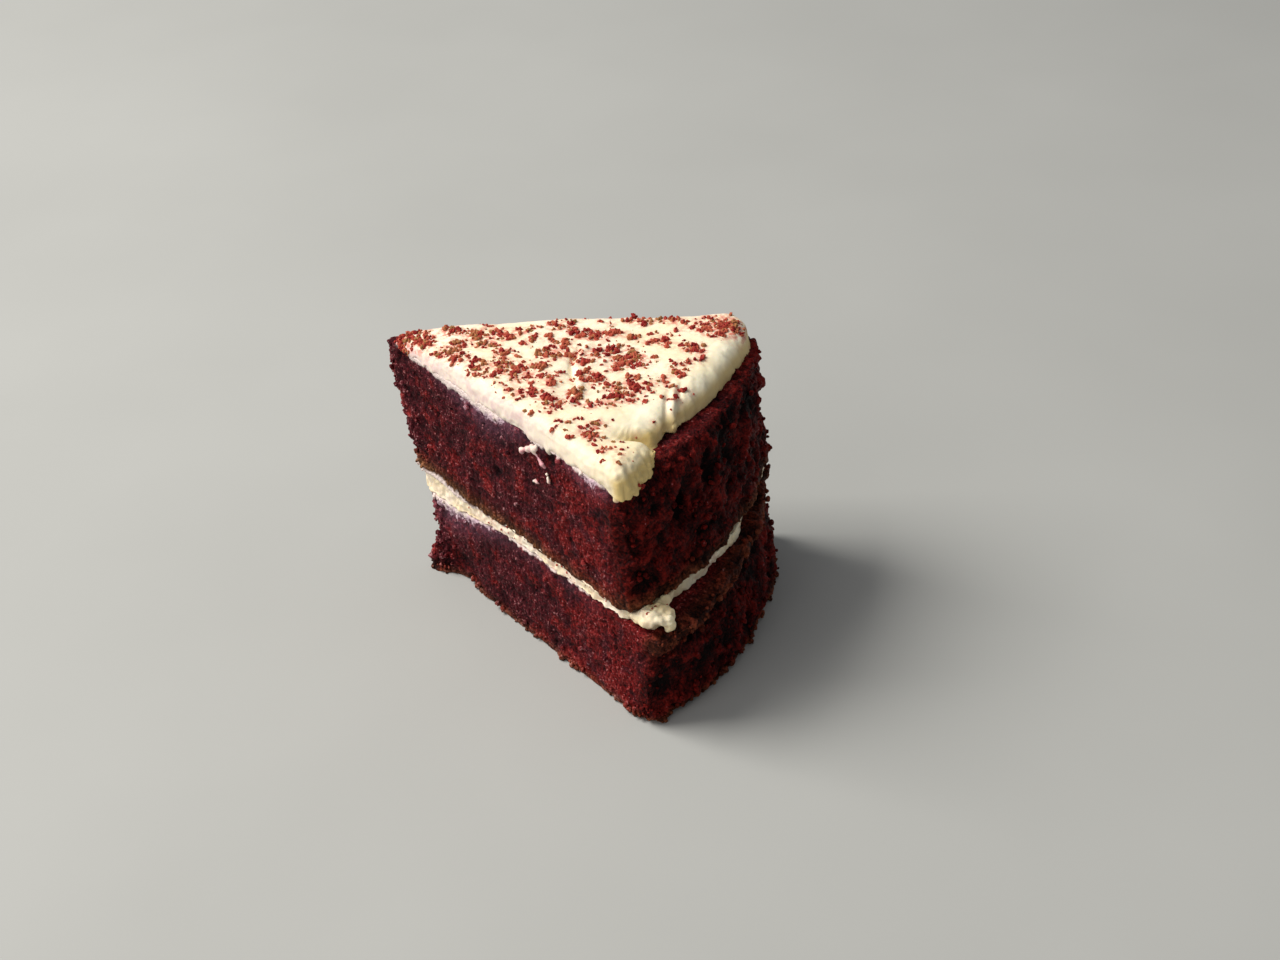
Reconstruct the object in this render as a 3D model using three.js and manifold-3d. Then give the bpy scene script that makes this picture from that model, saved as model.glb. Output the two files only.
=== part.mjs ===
// A slice of two-layer red velvet cake: two sponge layers, a thin cream filling that runs through,
// and a thick cream topping with cake crumbs stuck to it.
// Millimetres, +Z up. The slice stands on its flat base. +X runs from the tip to the curved rim,
// -Y is the cut face that leans towards the front corner, +Y the other cut face.

import * as THREE from 'three';
import { mergeVertices } from 'three/addons/utils/BufferGeometryUtils.js';
import Module from 'manifold-3d';

const wasm = await Module();
wasm.setup();

// Driving dimensions. Every plan is drawn round the point where the two cuts meet, the apex.
const GAP = 0.3;

const FRONT_ANGLE = THREE.MathUtils.degToRad(-26.3);
const BACK_ANGLE = THREE.MathUtils.degToRad(28.5);

// Faces between the layers: their heights at the tip and at the rim, and how long their waves are.
// The filling is thick at the tip and thins over the stretch in which the heights change.
const LOWER_TOP = { tip: 29.8, rim: 35, wavelength: 14 };
const UPPER_BASE = { tip: 37.6, rim: 39.8, wavelength: 12 };
const UPPER_TOP = { tip: 83, rim: 81.8, wavelength: 11 };
const THINNING = { from: 12, to: 48 };
const FACE_WAVE = 0.35;

// Plans: where the tip is, and the radius of the rim from the front corner to the back corner.
// Each plan blends from its low outline to its high outline. Its column runs past the faces that
// trim it.
const LOWER_SPONGE = {
  column: [0, 40],
  from: 0,
  to: 35,
  low: { tip: [1, 2.4], rim: [116.5, 118, 118.5, 118, 116.5] },
  high: { tip: [-1.5, 3.2], rim: [124, 121, 117.5, 116, 117.5] },
  blunt: 6.5,
  frontRound: 4,
  backRound: 6,
};
const UPPER_SPONGE = {
  column: [34, 86],
  from: 39,
  to: 80,
  low: { tip: [-5, 4.3], rim: [110.5, 112, 113, 114.5, 116.5] },
  high: { tip: [-14.8, 8.8], rim: [107.5, 109, 111.5, 113, 113.5] },
  blunt: 5.5,
  frontRound: 3.5,
  backRound: 7,
};
const FILLING = {
  from: 30,
  to: 40,
  low: { tip: [-2.5, 3.6], rim: [109, 110.5, 111.4, 112.4, 112.6, 110, 115.5, 116.5] },
  high: { tip: [-5, 4.4], rim: [109, 110.7, 111.8, 112.8, 113, 110, 115.8, 116.5] },
  blunt: 6,
  frontRound: 4,
  backRound: 7,
};
const TOPPING = {
  column: [76, 96],
  from: 80,
  to: 90,
  low: { tip: [-10.5, 7], rim: [109.5, 106.5, 99.2, 100.6, 104, 106.5, 111, 113] },
  high: { tip: [-9.5, 6.5], rim: [109, 106, 98.8, 100.2, 103.6, 106, 110.4, 112] },
  blunt: 5,
  frontRound: 3.5,
  backRound: 11,
};

// Relief: fine on the cut faces, lumps with creases between them on the rim, a torn tip, and soft
// waves on the cream. The rim and the tip fade in over the stretches given as zones.
const FACE_RELIEF = { depth: 0.4, wavelength: 5 };
const RIM_RELIEF = { depth: 1.8, wavelength: 12, swell: 0.8, crease: 1.9, fine: 0.35 };
const TIP_RELIEF = { depth: 1.1, wavelength: 7 };
const FILLING_RELIEF = { depth: 0.5, wavelength: 6 };
const BLOB_RELIEF = { depth: 0.12, wavelength: 2.5 };
const TOPPING_RELIEF = { depth: 0.35, wavelength: 5 };
const RIM_ZONE = { from: 1.5, to: 8 };
const TIP_ZONE = { from: 4, to: 14 };

// Rim profile: a groove under the ledge of the lower layer, a belly, and the upper shoulder,
// which is deep at the front corner and nearly gone at the back one
const GROOVE = { height: 26, width: 4.5, depth: 3.2 };
const BELLY = { height: 14, width: 8, depth: 1 };
const SHOULDER = { height: 72, rise: 10.5, front: 6.5, back: 1.5 };

// Hollows torn in the rim: how far along it from the front corner, height, width and depth
const LOWER_HOLLOWS = [
  { fraction: 0.9, height: 15, width: 4.5, depth: 2.2 },
  { fraction: 0.45, height: 11, width: 5, depth: 1.6 },
];
const UPPER_HOLLOWS = [
  { fraction: 0.25, height: 63, width: 5, depth: 2.8 },
  { fraction: 0.38, height: 72, width: 4.5, depth: 2 },
  { fraction: 0.56, height: 70, width: 4.5, depth: 2 },
  { fraction: 0.86, height: 77, width: 3.5, depth: 3 },
  { fraction: 0.88, height: 62, width: 5.5, depth: 3.6 },
];

// The torn foot at the tip of the base, and the hollow beside it in the front cut face
const FOOT = { x: 4, length: 6, reach: [-3.4, -5.6], height: 10 };
const FOOT_HOLLOW = { x: 18, length: 6, depth: 2.4, height: 15, from: -1, to: 6 };

// The blob of filling squeezed out on the ledge at the front corner: middles and radii
const BLOBS = [
  { at: [104.5, -45, 37.9], size: [7.4, 5.2, 3.4] },
  { at: [103.6, -37.5, 38], size: [4.2, 7.5, 2.5] },
  { at: [110.6, -45.8, 37.2], size: [2.2, 2.2, 2.9] },
];

// Topping: crown height, how it thins toward the tip, how round its rim edge is, and what the
// spatula left on it. The furrow fades in and out over fractions of its length.
const CROWN = 89.3;
const CROWN_TIP = { x: -9.5, drop: 3.2, length: 20 };
const CROWN_WAVES = { depth: 0.7, wavelength: 23 };
const CROWN_RIPPLES = { depth: 0.28, wavelength: 8 };
const EDGE_ROUND = 7.5;
const EDGE_DROP = 6;
const CUT_EDGE_ROUND = 1.4;
const FURROW = {
  from: [66.5, -18],
  to: [58.5, 12],
  width: 3,
  depth: 1.2,
  fadeIn: [-0.1, 0.15],
  fadeOut: [0.8, 1.1],
};
const DIMPLE = { at: [94.5, -22.5], radius: 6, depth: 2.2 };
const LOBE = { at: [95, -43], radius: 9, rise: 0.9 };
const RIBS = { count: 13, depth: 0.55 };

// The underside of the lobe droops past a radius, over a fraction of the rim at the front corner
const DROOP = { depth: 3.2, radius: [100, 106], fraction: [0.05, 0.2] };

// Crumbs stuck to the topping: how many and how large, how many may lie in a clump and how far
// apart, how bare the edges stay, and the heaps that the clumps are drawn from
const CRUMB_SEED = 20;
const CRUMB_COUNT = 150;
const CRUMB_RADIUS = { least: 0.9, most: 2, favourSmall: 1.5 };
const CRUMB_FLATNESS = 0.8;
const CRUMB_SINK = 0.56;
const CRUMB_RELIEF = { depth: 0.35, wavelength: 0.9 };
const CRUMB_CLUMP = { most: 4, spread: 2.6 };
const CRUMB_CLEAR_OF_CUT = { tip: 1.5, rim: 5.5, length: 40 };
const CRUMB_CLEAR_OF_RIM = 4.5;
const CRUMB_HEAPS = [
  { at: [6, 4], spread: [9, 5.25], weight: 1 },
  { at: [26, 9], spread: [10.5, 12], weight: 1.1 },
  { at: [40, -6], spread: [13.5, 12], weight: 1.8 },
  { at: [50, 11], spread: [10.5, 9], weight: 1.3 },
  { at: [55, 26], spread: [18, 7.5], weight: 0.9 },
  { at: [75, -9], spread: [16.5, 7.5], weight: 1.4 },
  { at: [62, -17], spread: [13.5, 7.5], weight: 0.8 },
  { at: [76, 16], spread: [10.5, 15], weight: 1.2 },
  { at: [91, 19], spread: [7.5, 12], weight: 0.8 },
  { at: [90, 0], spread: [10.5, 7.5], weight: 0.6 },
  { at: [82, -27], spread: [6, 12], weight: 0.5 },
  { at: [97, 40], spread: [9, 7.5], weight: 1 },
  { at: [76, 42], spread: [18, 6], weight: 0.6 },
];

// How finely each form is divided
const RING_POINTS = 76;
const TOPPING_RING_POINTS = 96;
const LAYER_STEP = 4.4;
const FILLING_RINGS = [26, 33, 37.5, 42];
const BLOB_SIDES = 10;
const BLOB_RINGS = 7;
const FACE_CELL = 11;
const CROWN_CELL = 3.6;

// The block of space below a face, by which the layers are trimmed
const BLOCK = { x: [-30, 135], y: [-72, 78], foot: -20 };

const COLOURS = {
  lower_sponge: { color: 0x6b1a1e, roughness: 0.9, metalness: 0 },
  filling: { color: 0xf0e6c8, roughness: 0.6, metalness: 0 },
  upper_sponge: { color: 0x74191d, roughness: 0.9, metalness: 0 },
  frosting: { color: 0xf7eed4, roughness: 0.6, metalness: 0 },
};

const { clamp, lerp, smoothstep } = THREE.MathUtils;

function bump(distance, width) {
  return Math.exp(-((distance / width) ** 2));
}

// Random numbers between 0 and 1 that are the same every time
function randomFrom(seed) {
  let state = seed;
  return () => {
    state = (Math.imul(state, 1664525) + 1013904223) >>> 0;
    return state / 4294967296;
  };
}

function latticeValue(i, j, k) {
  let hash = Math.imul(i, 374761393) ^ Math.imul(j, 668265263) ^ Math.imul(k, 1274126177);
  hash = Math.imul(hash ^ (hash >>> 13), 1103515245);
  hash ^= hash >>> 16;
  return (hash >>> 0) / 2147483648 - 1;
}

// Smooth noise between -1 and 1 that changes over the given wavelength
function noise(x, y, z, wavelength) {
  const cell = [x, y, z].map((value) => Math.floor(value / wavelength));
  const part = [x, y, z].map((value, axis) => smoothstep(value / wavelength - cell[axis], 0, 1));
  const edge = (j, k) => {
    const start = latticeValue(cell[0], cell[1] + j, cell[2] + k);
    const end = latticeValue(cell[0] + 1, cell[1] + j, cell[2] + k);
    return lerp(start, end, part[0]);
  };
  const near = lerp(edge(0, 0), edge(1, 0), part[1]);
  const far = lerp(edge(0, 1), edge(1, 1), part[1]);
  return lerp(near, far, part[2]);
}

function relief({ depth, wavelength }, x, y, z) {
  return depth * noise(x, y, z, wavelength);
}

// Radius of a rim at a fraction of the way from the front corner to the back corner
function rimRadius(radii, fraction) {
  const curve = new THREE.SplineCurve(radii.map((radius, i) => new THREE.Vector2(i, radius)));
  return curve.getPoint(clamp(fraction, 0, 1)).y;
}

function rimFraction(x, y) {
  return (Math.atan2(y, x) - FRONT_ANGLE) / (BACK_ANGLE - FRONT_ANGLE);
}

// A plan's tip and rim radii at a height
function planAt(plan, z) {
  const rise = clamp((z - plan.from) / (plan.to - plan.from), 0, 1);
  return {
    tip: new THREE.Vector2(...plan.low.tip).lerp(new THREE.Vector2(...plan.high.tip), rise),
    radii: plan.low.rim.map((radius, i) => lerp(radius, plan.high.rim[i], rise)),
  };
}

function rimPoint(radii, fraction) {
  const angle = lerp(FRONT_ANGLE, BACK_ANGLE, fraction);
  const radius = rimRadius(radii, fraction);
  return new THREE.Vector2(radius * Math.cos(angle), radius * Math.sin(angle));
}

function along(start, end, distance) {
  return end.clone().sub(start).setLength(distance).add(start);
}

// The outline of a plan at a height: cut face, front corner, rim, back corner, cut face, tip
function outline(plan, z, count) {
  const { tip, radii } = planAt(plan, z);
  const front = rimPoint(radii, 0);
  const back = rimPoint(radii, 1);
  const rimLength = (BACK_ANGLE - FRONT_ANGLE) * radii[0];
  const first = plan.frontRound / rimLength;
  const last = 1 - plan.backRound / rimLength;
  const rimSteps = 3 * radii.length;
  const rim = [];
  for (let i = 0; i <= rimSteps; i += 1) {
    rim.push(rimPoint(radii, lerp(first, last, i / rimSteps)));
  }
  const path = new THREE.Path();
  const start = along(tip, front, plan.blunt);
  const frontTurn = along(front, tip, plan.frontRound);
  const backTurn = along(back, tip, plan.backRound);
  const end = along(tip, back, plan.blunt);
  path.moveTo(start.x, start.y);
  path.lineTo(frontTurn.x, frontTurn.y);
  path.quadraticCurveTo(front.x, front.y, rim[0].x, rim[0].y);
  path.splineThru(rim.slice(1));
  path.quadraticCurveTo(back.x, back.y, backTurn.x, backTurn.y);
  path.lineTo(end.x, end.y);
  path.quadraticCurveTo(tip.x, tip.y, start.x, start.y);
  return path.getSpacedPoints(count).slice(0, count);
}

// How much a point of an outline belongs to the rim and to the tip, from 0 to 1
function zones(plan, point, z) {
  const { tip, radii } = planAt(plan, z);
  const inset = rimRadius(radii, rimFraction(point.x, point.y)) - point.length();
  return {
    rim: 1 - smoothstep(inset, RIM_ZONE.from, RIM_ZONE.to),
    tip: 1 - smoothstep(point.x - tip.x, TIP_ZONE.from, TIP_ZONE.to),
  };
}

function unmoved() {
  return new THREE.Vector2();
}

// A closed column: a ring for each height, each moved outwards by push(point, z), then by
// shift(point, z)
function column(plan, heights, count, push, shift = unmoved) {
  const positions = [];
  for (const z of heights) {
    const ring = outline(plan, z, count);
    ring.forEach((point, i) => {
      const previous = ring[(i + count - 1) % count];
      const next = ring[(i + 1) % count];
      const outward = new THREE.Vector2(next.y - previous.y, previous.x - next.x).normalize();
      const moved = point.clone().addScaledVector(outward, push(point, z));
      moved.add(shift(point, z));
      positions.push(moved.x, moved.y, z);
    });
  }
  const indices = [];
  for (let level = 0; level < heights.length - 1; level += 1) {
    for (let i = 0; i < count; i += 1) {
      const a = level * count + i;
      const b = level * count + ((i + 1) % count);
      indices.push(a, b, b + count, a, b + count, a + count);
    }
  }
  const top = (heights.length - 1) * count;
  const ringAt = (start) => Array.from({ length: count }, (unused, i) => (
    new THREE.Vector2(positions[3 * (start + i)], positions[3 * (start + i) + 1])));
  for (const [a, b, c] of THREE.ShapeUtils.triangulateShape(ringAt(0), [])) {
    indices.push(c, b, a);
  }
  for (const [a, b, c] of THREE.ShapeUtils.triangulateShape(ringAt(top), [])) {
    indices.push(top + a, top + b, top + c);
  }
  return solid(positions, indices);
}

function solid(positions, indices) {
  return new wasm.Manifold(new wasm.Mesh({
    numProp: 3,
    vertProperties: new Float32Array(positions),
    triVerts: new Uint32Array(indices),
  }));
}

function solidOf(geometry) {
  geometry.deleteAttribute('normal');
  geometry.deleteAttribute('uv');
  const merged = mergeVertices(geometry);
  return solid(merged.attributes.position.array, merged.index.array);
}

// The largest piece of a body: hollows sealed inside it are filled and loose scraps dropped
function wholeOf(body) {
  const larger = (a, b) => (b.volume() > a.volume() ? b : a);
  return body.decompose().reduce(larger);
}

// Everything below a surface z = height(x, y)
function below(height, cell) {
  const width = BLOCK.x[1] - BLOCK.x[0];
  const depth = BLOCK.y[1] - BLOCK.y[0];
  const across = Math.round(width / cell);
  const deep = Math.round(depth / cell);
  const geometry = new THREE.BoxGeometry(width, depth, 1, across, deep, 1);
  geometry.translate(BLOCK.x[0] + width / 2, BLOCK.y[0] + depth / 2, 0);
  const place = geometry.attributes.position;
  for (let i = 0; i < place.count; i += 1) {
    const onTop = place.getZ(i) > 0;
    place.setZ(i, onTop ? height(place.getX(i), place.getY(i)) : BLOCK.foot);
  }
  return solidOf(geometry);
}

// Height of a face between the layers: from its height at the tip to its height at the rim
function face({ tip, rim, wavelength }, x, y) {
  const rise = smoothstep(x, THINNING.from, THINNING.to);
  return lerp(tip, rim, rise) + FACE_WAVE * noise(x, y, rim, wavelength);
}

const lowerTop = (x, y) => face(LOWER_TOP, x, y);
const upperBase = (x, y) => face(UPPER_BASE, x, y);
const upperTop = (x, y) => face(UPPER_TOP, x, y);

function spongeRelief({ rim, tip }, { x, y }, z) {
  const fine = noise(x, y, z, FACE_RELIEF.wavelength);
  const crease = RIM_RELIEF.crease * Math.abs(noise(x, y, z, RIM_RELIEF.wavelength));
  const lumps = RIM_RELIEF.swell - crease + RIM_RELIEF.fine * fine;
  const torn = relief(TIP_RELIEF, x, y, z);
  return FACE_RELIEF.depth * fine + RIM_RELIEF.depth * rim * lumps + tip * torn;
}

function hollowDepth(hollows, point, z) {
  const arc = (BACK_ANGLE - FRONT_ANGLE) * point.length();
  const place = arc * rimFraction(point.x, point.y);
  const depths = hollows.map(({ fraction, height, width, depth }) => (
    depth * bump(Math.hypot(place - arc * fraction, z - height), width)));
  return depths.reduce((sum, depth) => sum + depth, 0);
}

function lowerPush(point, z) {
  const zone = zones(LOWER_SPONGE, point, z);
  const groove = GROOVE.depth * bump(z - GROOVE.height, GROOVE.width);
  const belly = BELLY.depth * bump(z - BELLY.height, BELLY.width);
  const profile = belly - groove - hollowDepth(LOWER_HOLLOWS, point, z);
  return zone.rim * profile + spongeRelief(zone, point, z);
}

function lowerShift(point, z) {
  const foot = bump(point.x - FOOT.x, FOOT.length) * clamp(1 - z / FOOT.height, 0, 1);
  const onFrontFace = 1 - smoothstep(point.y, FOOT_HOLLOW.from, FOOT_HOLLOW.to);
  const fade = onFrontFace * clamp(1 - z / FOOT_HOLLOW.height, 0, 1);
  const hollow = FOOT_HOLLOW.depth * fade * bump(point.x - FOOT_HOLLOW.x, FOOT_HOLLOW.length);
  return new THREE.Vector2(foot * FOOT.reach[0], foot * FOOT.reach[1] + hollow);
}

function upperPush(point, z) {
  const zone = zones(UPPER_SPONGE, point, z);
  const rise = clamp((z - SHOULDER.height) / SHOULDER.rise, 0, 1);
  const depth = lerp(SHOULDER.front, SHOULDER.back, clamp(rimFraction(point.x, point.y), 0, 1));
  const shoulder = depth * (1 - Math.sqrt(1 - rise ** 2));
  const profile = -shoulder - hollowDepth(UPPER_HOLLOWS, point, z);
  return zone.rim * profile + spongeRelief(zone, point, z);
}

function heightsFrom([low, high]) {
  const count = Math.round((high - low) / LAYER_STEP);
  return Array.from({ length: count + 1 }, (unused, i) => lerp(low, high, i / count));
}

// The two sponges; grow makes one larger all round, for cutting what touches it
function lowerSponge(grow) {
  const push = (point, z) => lowerPush(point, z) + grow;
  const heights = heightsFrom(LOWER_SPONGE.column);
  const body = column(LOWER_SPONGE, heights, RING_POINTS, push, lowerShift);
  return body.intersect(below((x, y) => lowerTop(x, y) + grow, FACE_CELL));
}

function upperSponge(grow) {
  const push = (point, z) => upperPush(point, z) + grow;
  const body = column(UPPER_SPONGE, heightsFrom(UPPER_SPONGE.column), RING_POINTS, push);
  const top = below((x, y) => upperTop(x, y) + grow, FACE_CELL);
  return body.intersect(top).subtract(below((x, y) => upperBase(x, y) - grow, FACE_CELL));
}

// Each point of a geometry moved out from the origin, or in, by noise laid at the given place
function roughen(geometry, amount, place) {
  const position = geometry.attributes.position;
  const point = new THREE.Vector3();
  for (let i = 0; i < position.count; i += 1) {
    point.fromBufferAttribute(position, i);
    const { x, y, z } = point.clone().add(place);
    point.multiplyScalar(1 + relief(amount, x, y, z));
    position.setXYZ(i, point.x, point.y, point.z);
  }
}

function blob({ at, size }) {
  const geometry = new THREE.SphereGeometry(1, BLOB_SIDES, BLOB_RINGS);
  geometry.scale(...size);
  roughen(geometry, BLOB_RELIEF, new THREE.Vector3());
  geometry.translate(...at);
  return solidOf(geometry);
}

// The filling follows the faces of both sponges and is squeezed out at the front corner
function filling() {
  const push = ({ x, y }, z) => relief(FILLING_RELIEF, x, y, z);
  const slab = column(FILLING, FILLING_RINGS, RING_POINTS, push)
    .intersect(below((x, y) => upperBase(x, y) - GAP, FACE_CELL))
    .subtract(below((x, y) => lowerTop(x, y) + GAP, FACE_CELL));
  const squeezed = BLOBS.map(blob).reduce((sum, piece) => sum.add(piece))
    .subtract(lowerSponge(GAP))
    .subtract(upperSponge(GAP));
  return wholeOf(slab.add(squeezed));
}

// Distance from a straight line, positive on its left
function leftOf(start, end, x, y) {
  const length = Math.hypot(end[0] - start[0], end[1] - start[1]);
  const crossed = (end[0] - start[0]) * (y - start[1]) - (end[1] - start[1]) * (x - start[0]);
  return crossed / length;
}

function fractionAlong(start, end, x, y) {
  const run = [end[0] - start[0], end[1] - start[1]];
  return ((x - start[0]) * run[0] + (y - start[1]) * run[1]) / (run[0] ** 2 + run[1] ** 2);
}

// How far a point of the topping is from its rim edge and from the two cut faces
function insets(x, y) {
  const { tip, radii } = planAt(TOPPING, CROWN);
  const front = rimPoint(radii, 0);
  const back = rimPoint(radii, 1);
  const fraction = rimFraction(x, y);
  return {
    fraction,
    rim: rimRadius(radii, fraction) - Math.hypot(x, y),
    frontCut: leftOf([tip.x, tip.y], [front.x, front.y], x, y),
    backCut: -leftOf([tip.x, tip.y], [back.x, back.y], x, y),
  };
}

function crown(x, y) {
  const { fraction, rim, frontCut, backCut } = insets(x, y);
  const waves = relief(CROWN_WAVES, x, y, 0) + relief(CROWN_RIPPLES, x, y, 0);
  const thinned = CROWN_TIP.drop * Math.exp((CROWN_TIP.x - x) / CROWN_TIP.length);
  const step = leftOf(FURROW.from, FURROW.to, x, y);
  const run = fractionAlong(FURROW.from, FURROW.to, x, y);
  const reach = smoothstep(run, ...FURROW.fadeIn) * (1 - smoothstep(run, ...FURROW.fadeOut));
  const furrow = FURROW.depth * reach * bump(step - FURROW.width / 2, FURROW.width);
  const dimple = DIMPLE.depth * bump(Math.hypot(x - DIMPLE.at[0], y - DIMPLE.at[1]), DIMPLE.radius);
  const lobe = LOBE.rise * bump(Math.hypot(x - LOBE.at[0], y - LOBE.at[1]), LOBE.radius);
  const bend = clamp(1 - rim / EDGE_ROUND, 0, 1);
  const edge = EDGE_DROP * (1 - Math.sqrt(1 - bend ** 2));
  const ribs = RIBS.depth * bend * Math.sin(2 * Math.PI * RIBS.count * fraction);
  const cut = clamp(1 - Math.min(frontCut, backCut) / CUT_EDGE_ROUND, 0, 1) ** 2;
  return CROWN + waves + lobe - thinned - furrow - dimple - edge + ribs - cut;
}

function toppingBase(x, y) {
  const past = smoothstep(Math.hypot(x, y), ...DROOP.radius);
  const corner = 1 - smoothstep(rimFraction(x, y), ...DROOP.fraction);
  return upperTop(x, y) + GAP - DROOP.depth * past * corner;
}

// Crumbs lie in heaps and clumps, clear of the cut faces and the rounded rim edge
function crumbs() {
  const random = randomFrom(CRUMB_SEED);
  const spread = () => random() + random() + random() - 3 / 2;
  const whole = CRUMB_HEAPS.reduce((sum, heap) => sum + heap.weight, 0);
  const solids = [];
  while (solids.length < CRUMB_COUNT) {
    let pick = random() * whole;
    const heap = CRUMB_HEAPS.find(({ weight }) => {
      pick -= weight;
      return pick < 0;
    });
    const clump = heap.at.map((middle, axis) => middle + heap.spread[axis] * spread());
    const members = 1 + Math.floor(CRUMB_CLUMP.most * random());
    for (let i = 0; i < members; i += 1) {
      const x = clump[0] + CRUMB_CLUMP.spread * spread();
      const y = clump[1] + CRUMB_CLUMP.spread * spread();
      const size = random() ** CRUMB_RADIUS.favourSmall;
      const radius = lerp(CRUMB_RADIUS.least, CRUMB_RADIUS.most, size);
      const turn = 2 * Math.PI * random();
      const { rim, frontCut, backCut } = insets(x, y);
      const bare = lerp(
        CRUMB_CLEAR_OF_CUT.tip,
        CRUMB_CLEAR_OF_CUT.rim,
        clamp(x / CRUMB_CLEAR_OF_CUT.length, 0, 1),
      );
      const clear = frontCut > bare && backCut > radius && rim > CRUMB_CLEAR_OF_RIM;
      if (clear && solids.length < CRUMB_COUNT) {
        solids.push(crumb(x, y, radius, turn));
      }
    }
  }
  return solids;
}

function crumb(x, y, radius, turn) {
  const geometry = new THREE.OctahedronGeometry(radius, 0);
  geometry.rotateX(turn);
  roughen(geometry, CRUMB_RELIEF, new THREE.Vector3(x, y, 0));
  geometry.scale(1, 1, CRUMB_FLATNESS);
  geometry.rotateZ(turn);
  geometry.translate(x, y, crown(x, y) + radius * (CRUMB_FLATNESS - CRUMB_SINK));
  return solidOf(geometry);
}

function topping() {
  const push = ({ x, y }, z) => relief(TOPPING_RELIEF, x, y, z);
  const heights = heightsFrom(TOPPING.column);
  const cream = column(TOPPING, heights, TOPPING_RING_POINTS, push)
    .intersect(below(crown, CROWN_CELL))
    .subtract(below(toppingBase, FACE_CELL))
    .subtract(upperSponge(GAP));
  return wholeOf(crumbs().reduce((sum, piece) => sum.add(piece), cream));
}

function meshOf(name, body) {
  const { numProp, vertProperties, triVerts } = body.getMesh();
  const geometry = new THREE.BufferGeometry();
  geometry.setAttribute('position', new THREE.BufferAttribute(vertProperties, numProp));
  geometry.setIndex(new THREE.BufferAttribute(triVerts, 1));
  geometry.computeVertexNormals();
  const mesh = new THREE.Mesh(geometry, new THREE.MeshStandardMaterial(COLOURS[name]));
  mesh.name = name;
  return mesh;
}

const slice = new THREE.Group();
slice.add(meshOf('lower_sponge', lowerSponge(0)));
slice.add(meshOf('filling', filling()));
slice.add(meshOf('upper_sponge', upperSponge(0)));
slice.add(meshOf('frosting', topping()));

// The origin is the middle of the base of the slice's box
const box = new THREE.Box3().setFromObject(slice);
const middle = box.getCenter(new THREE.Vector3());
slice.position.set(-middle.x, -middle.y, -box.min.z);

export default slice;
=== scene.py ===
"""The looks of a slice of two-layer red velvet cake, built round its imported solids.

Sizes are in millimetres in the slice's own frame until a mesh is made: the origin is where the two
cuts meet, +X runs from the tip to the curved rim, the front cut faces -Y, and the cake stands on z = 0.
"""

import itertools
import math

import bmesh
import bpy
import numpy as np
from mathutils import Matrix, Vector
from mathutils.bvhtree import BVHTree


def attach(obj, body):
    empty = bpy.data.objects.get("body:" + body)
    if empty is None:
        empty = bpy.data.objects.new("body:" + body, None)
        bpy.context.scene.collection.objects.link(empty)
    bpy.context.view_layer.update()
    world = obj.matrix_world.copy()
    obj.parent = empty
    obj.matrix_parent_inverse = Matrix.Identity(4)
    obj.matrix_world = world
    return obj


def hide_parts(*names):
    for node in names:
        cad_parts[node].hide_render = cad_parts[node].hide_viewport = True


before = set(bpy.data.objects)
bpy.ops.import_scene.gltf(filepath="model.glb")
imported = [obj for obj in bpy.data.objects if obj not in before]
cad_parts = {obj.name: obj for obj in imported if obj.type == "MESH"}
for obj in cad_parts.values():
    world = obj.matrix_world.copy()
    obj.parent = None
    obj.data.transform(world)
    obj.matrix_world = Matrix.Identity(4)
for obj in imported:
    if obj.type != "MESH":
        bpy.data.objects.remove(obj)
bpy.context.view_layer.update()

# The slice's frame: where the cuts meet, seen from the middle of the base, and millimetres in a metre
APEX = np.array([-54.497, -1.186, 0.0])
METRE = 1000.0
BODY = "root"

# Camera: where the photo was taken from, in metres, and how, found from the board under the slice
CAMERA_AT = (0.2475, -0.4692, 0.4021)
CAMERA_FORWARD = Vector((-0.35299, 0.75014, -0.55919))
CAMERA_ROLL = math.radians(2.81)
PHOTO_WIDTH = 1280
PHOTO_FOCAL = 1963
SENSOR = 36.0

# The solids' driving dimensions that the looks follow
FRONT_ANGLE = math.radians(-26.3)
BACK_ANGLE = math.radians(28.5)
LOWER_SPONGE = {
    "from": 0,
    "to": 35,
    "low": {"tip": (1, 2.4), "rim": (116.5, 118, 118.5, 118, 116.5)},
    "high": {"tip": (-1.5, 3.2), "rim": (124, 121, 117.5, 116, 117.5)},
}
UPPER_SPONGE = {
    "from": 39,
    "to": 80,
    "low": {"tip": (-5, 4.3), "rim": (110.5, 112, 113, 114.5, 116.5)},
    "high": {"tip": (-14.8, 8.8), "rim": (107.5, 109, 111.5, 113, 113.5)},
}
TOPPING = {
    "from": 80,
    "to": 90,
    "low": {"tip": (-10.5, 7), "rim": (109.5, 106.5, 99.2, 100.6, 104, 106.5, 111, 113)},
    "high": {"tip": (-9.5, 6.5), "rim": (109, 106, 98.8, 100.2, 103.6, 106, 110.4, 112)},
    "blunt": 5,
    "front_round": 3.5,
    "back_round": 11,
}
LOWER_TOP = {"tip": 29.8, "rim": 35}
UPPER_TOP = {"tip": 83, "rim": 81.8, "wavelength": 11}
THINNING = (12, 48)
FACE_WAVE = 0.35
CROWN = 89.3
CROWN_TIP = {"x": -9.5, "drop": 3.2, "length": 20}
CROWN_WAVES = ((0.7, 23, 0), (0.28, 8, 0))
EDGE_ROUND = 7.5
EDGE_DROP = 6
CUT_EDGE_ROUND = 1.4
FURROW = {"from": (66.5, -18), "to": (58.5, 12), "width": 3, "depth": 1.2}
DIMPLE = {"at": (94.5, -22.5), "radius": 6, "depth": 2.2}
LOBE = {"at": (95, -43), "radius": 9, "rise": 0.9}
RIBS = {"count": 13, "depth": 0.55}
DROOP = {"depth": 3.2, "radius": (100, 106), "fraction": (0.05, 0.2)}

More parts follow.
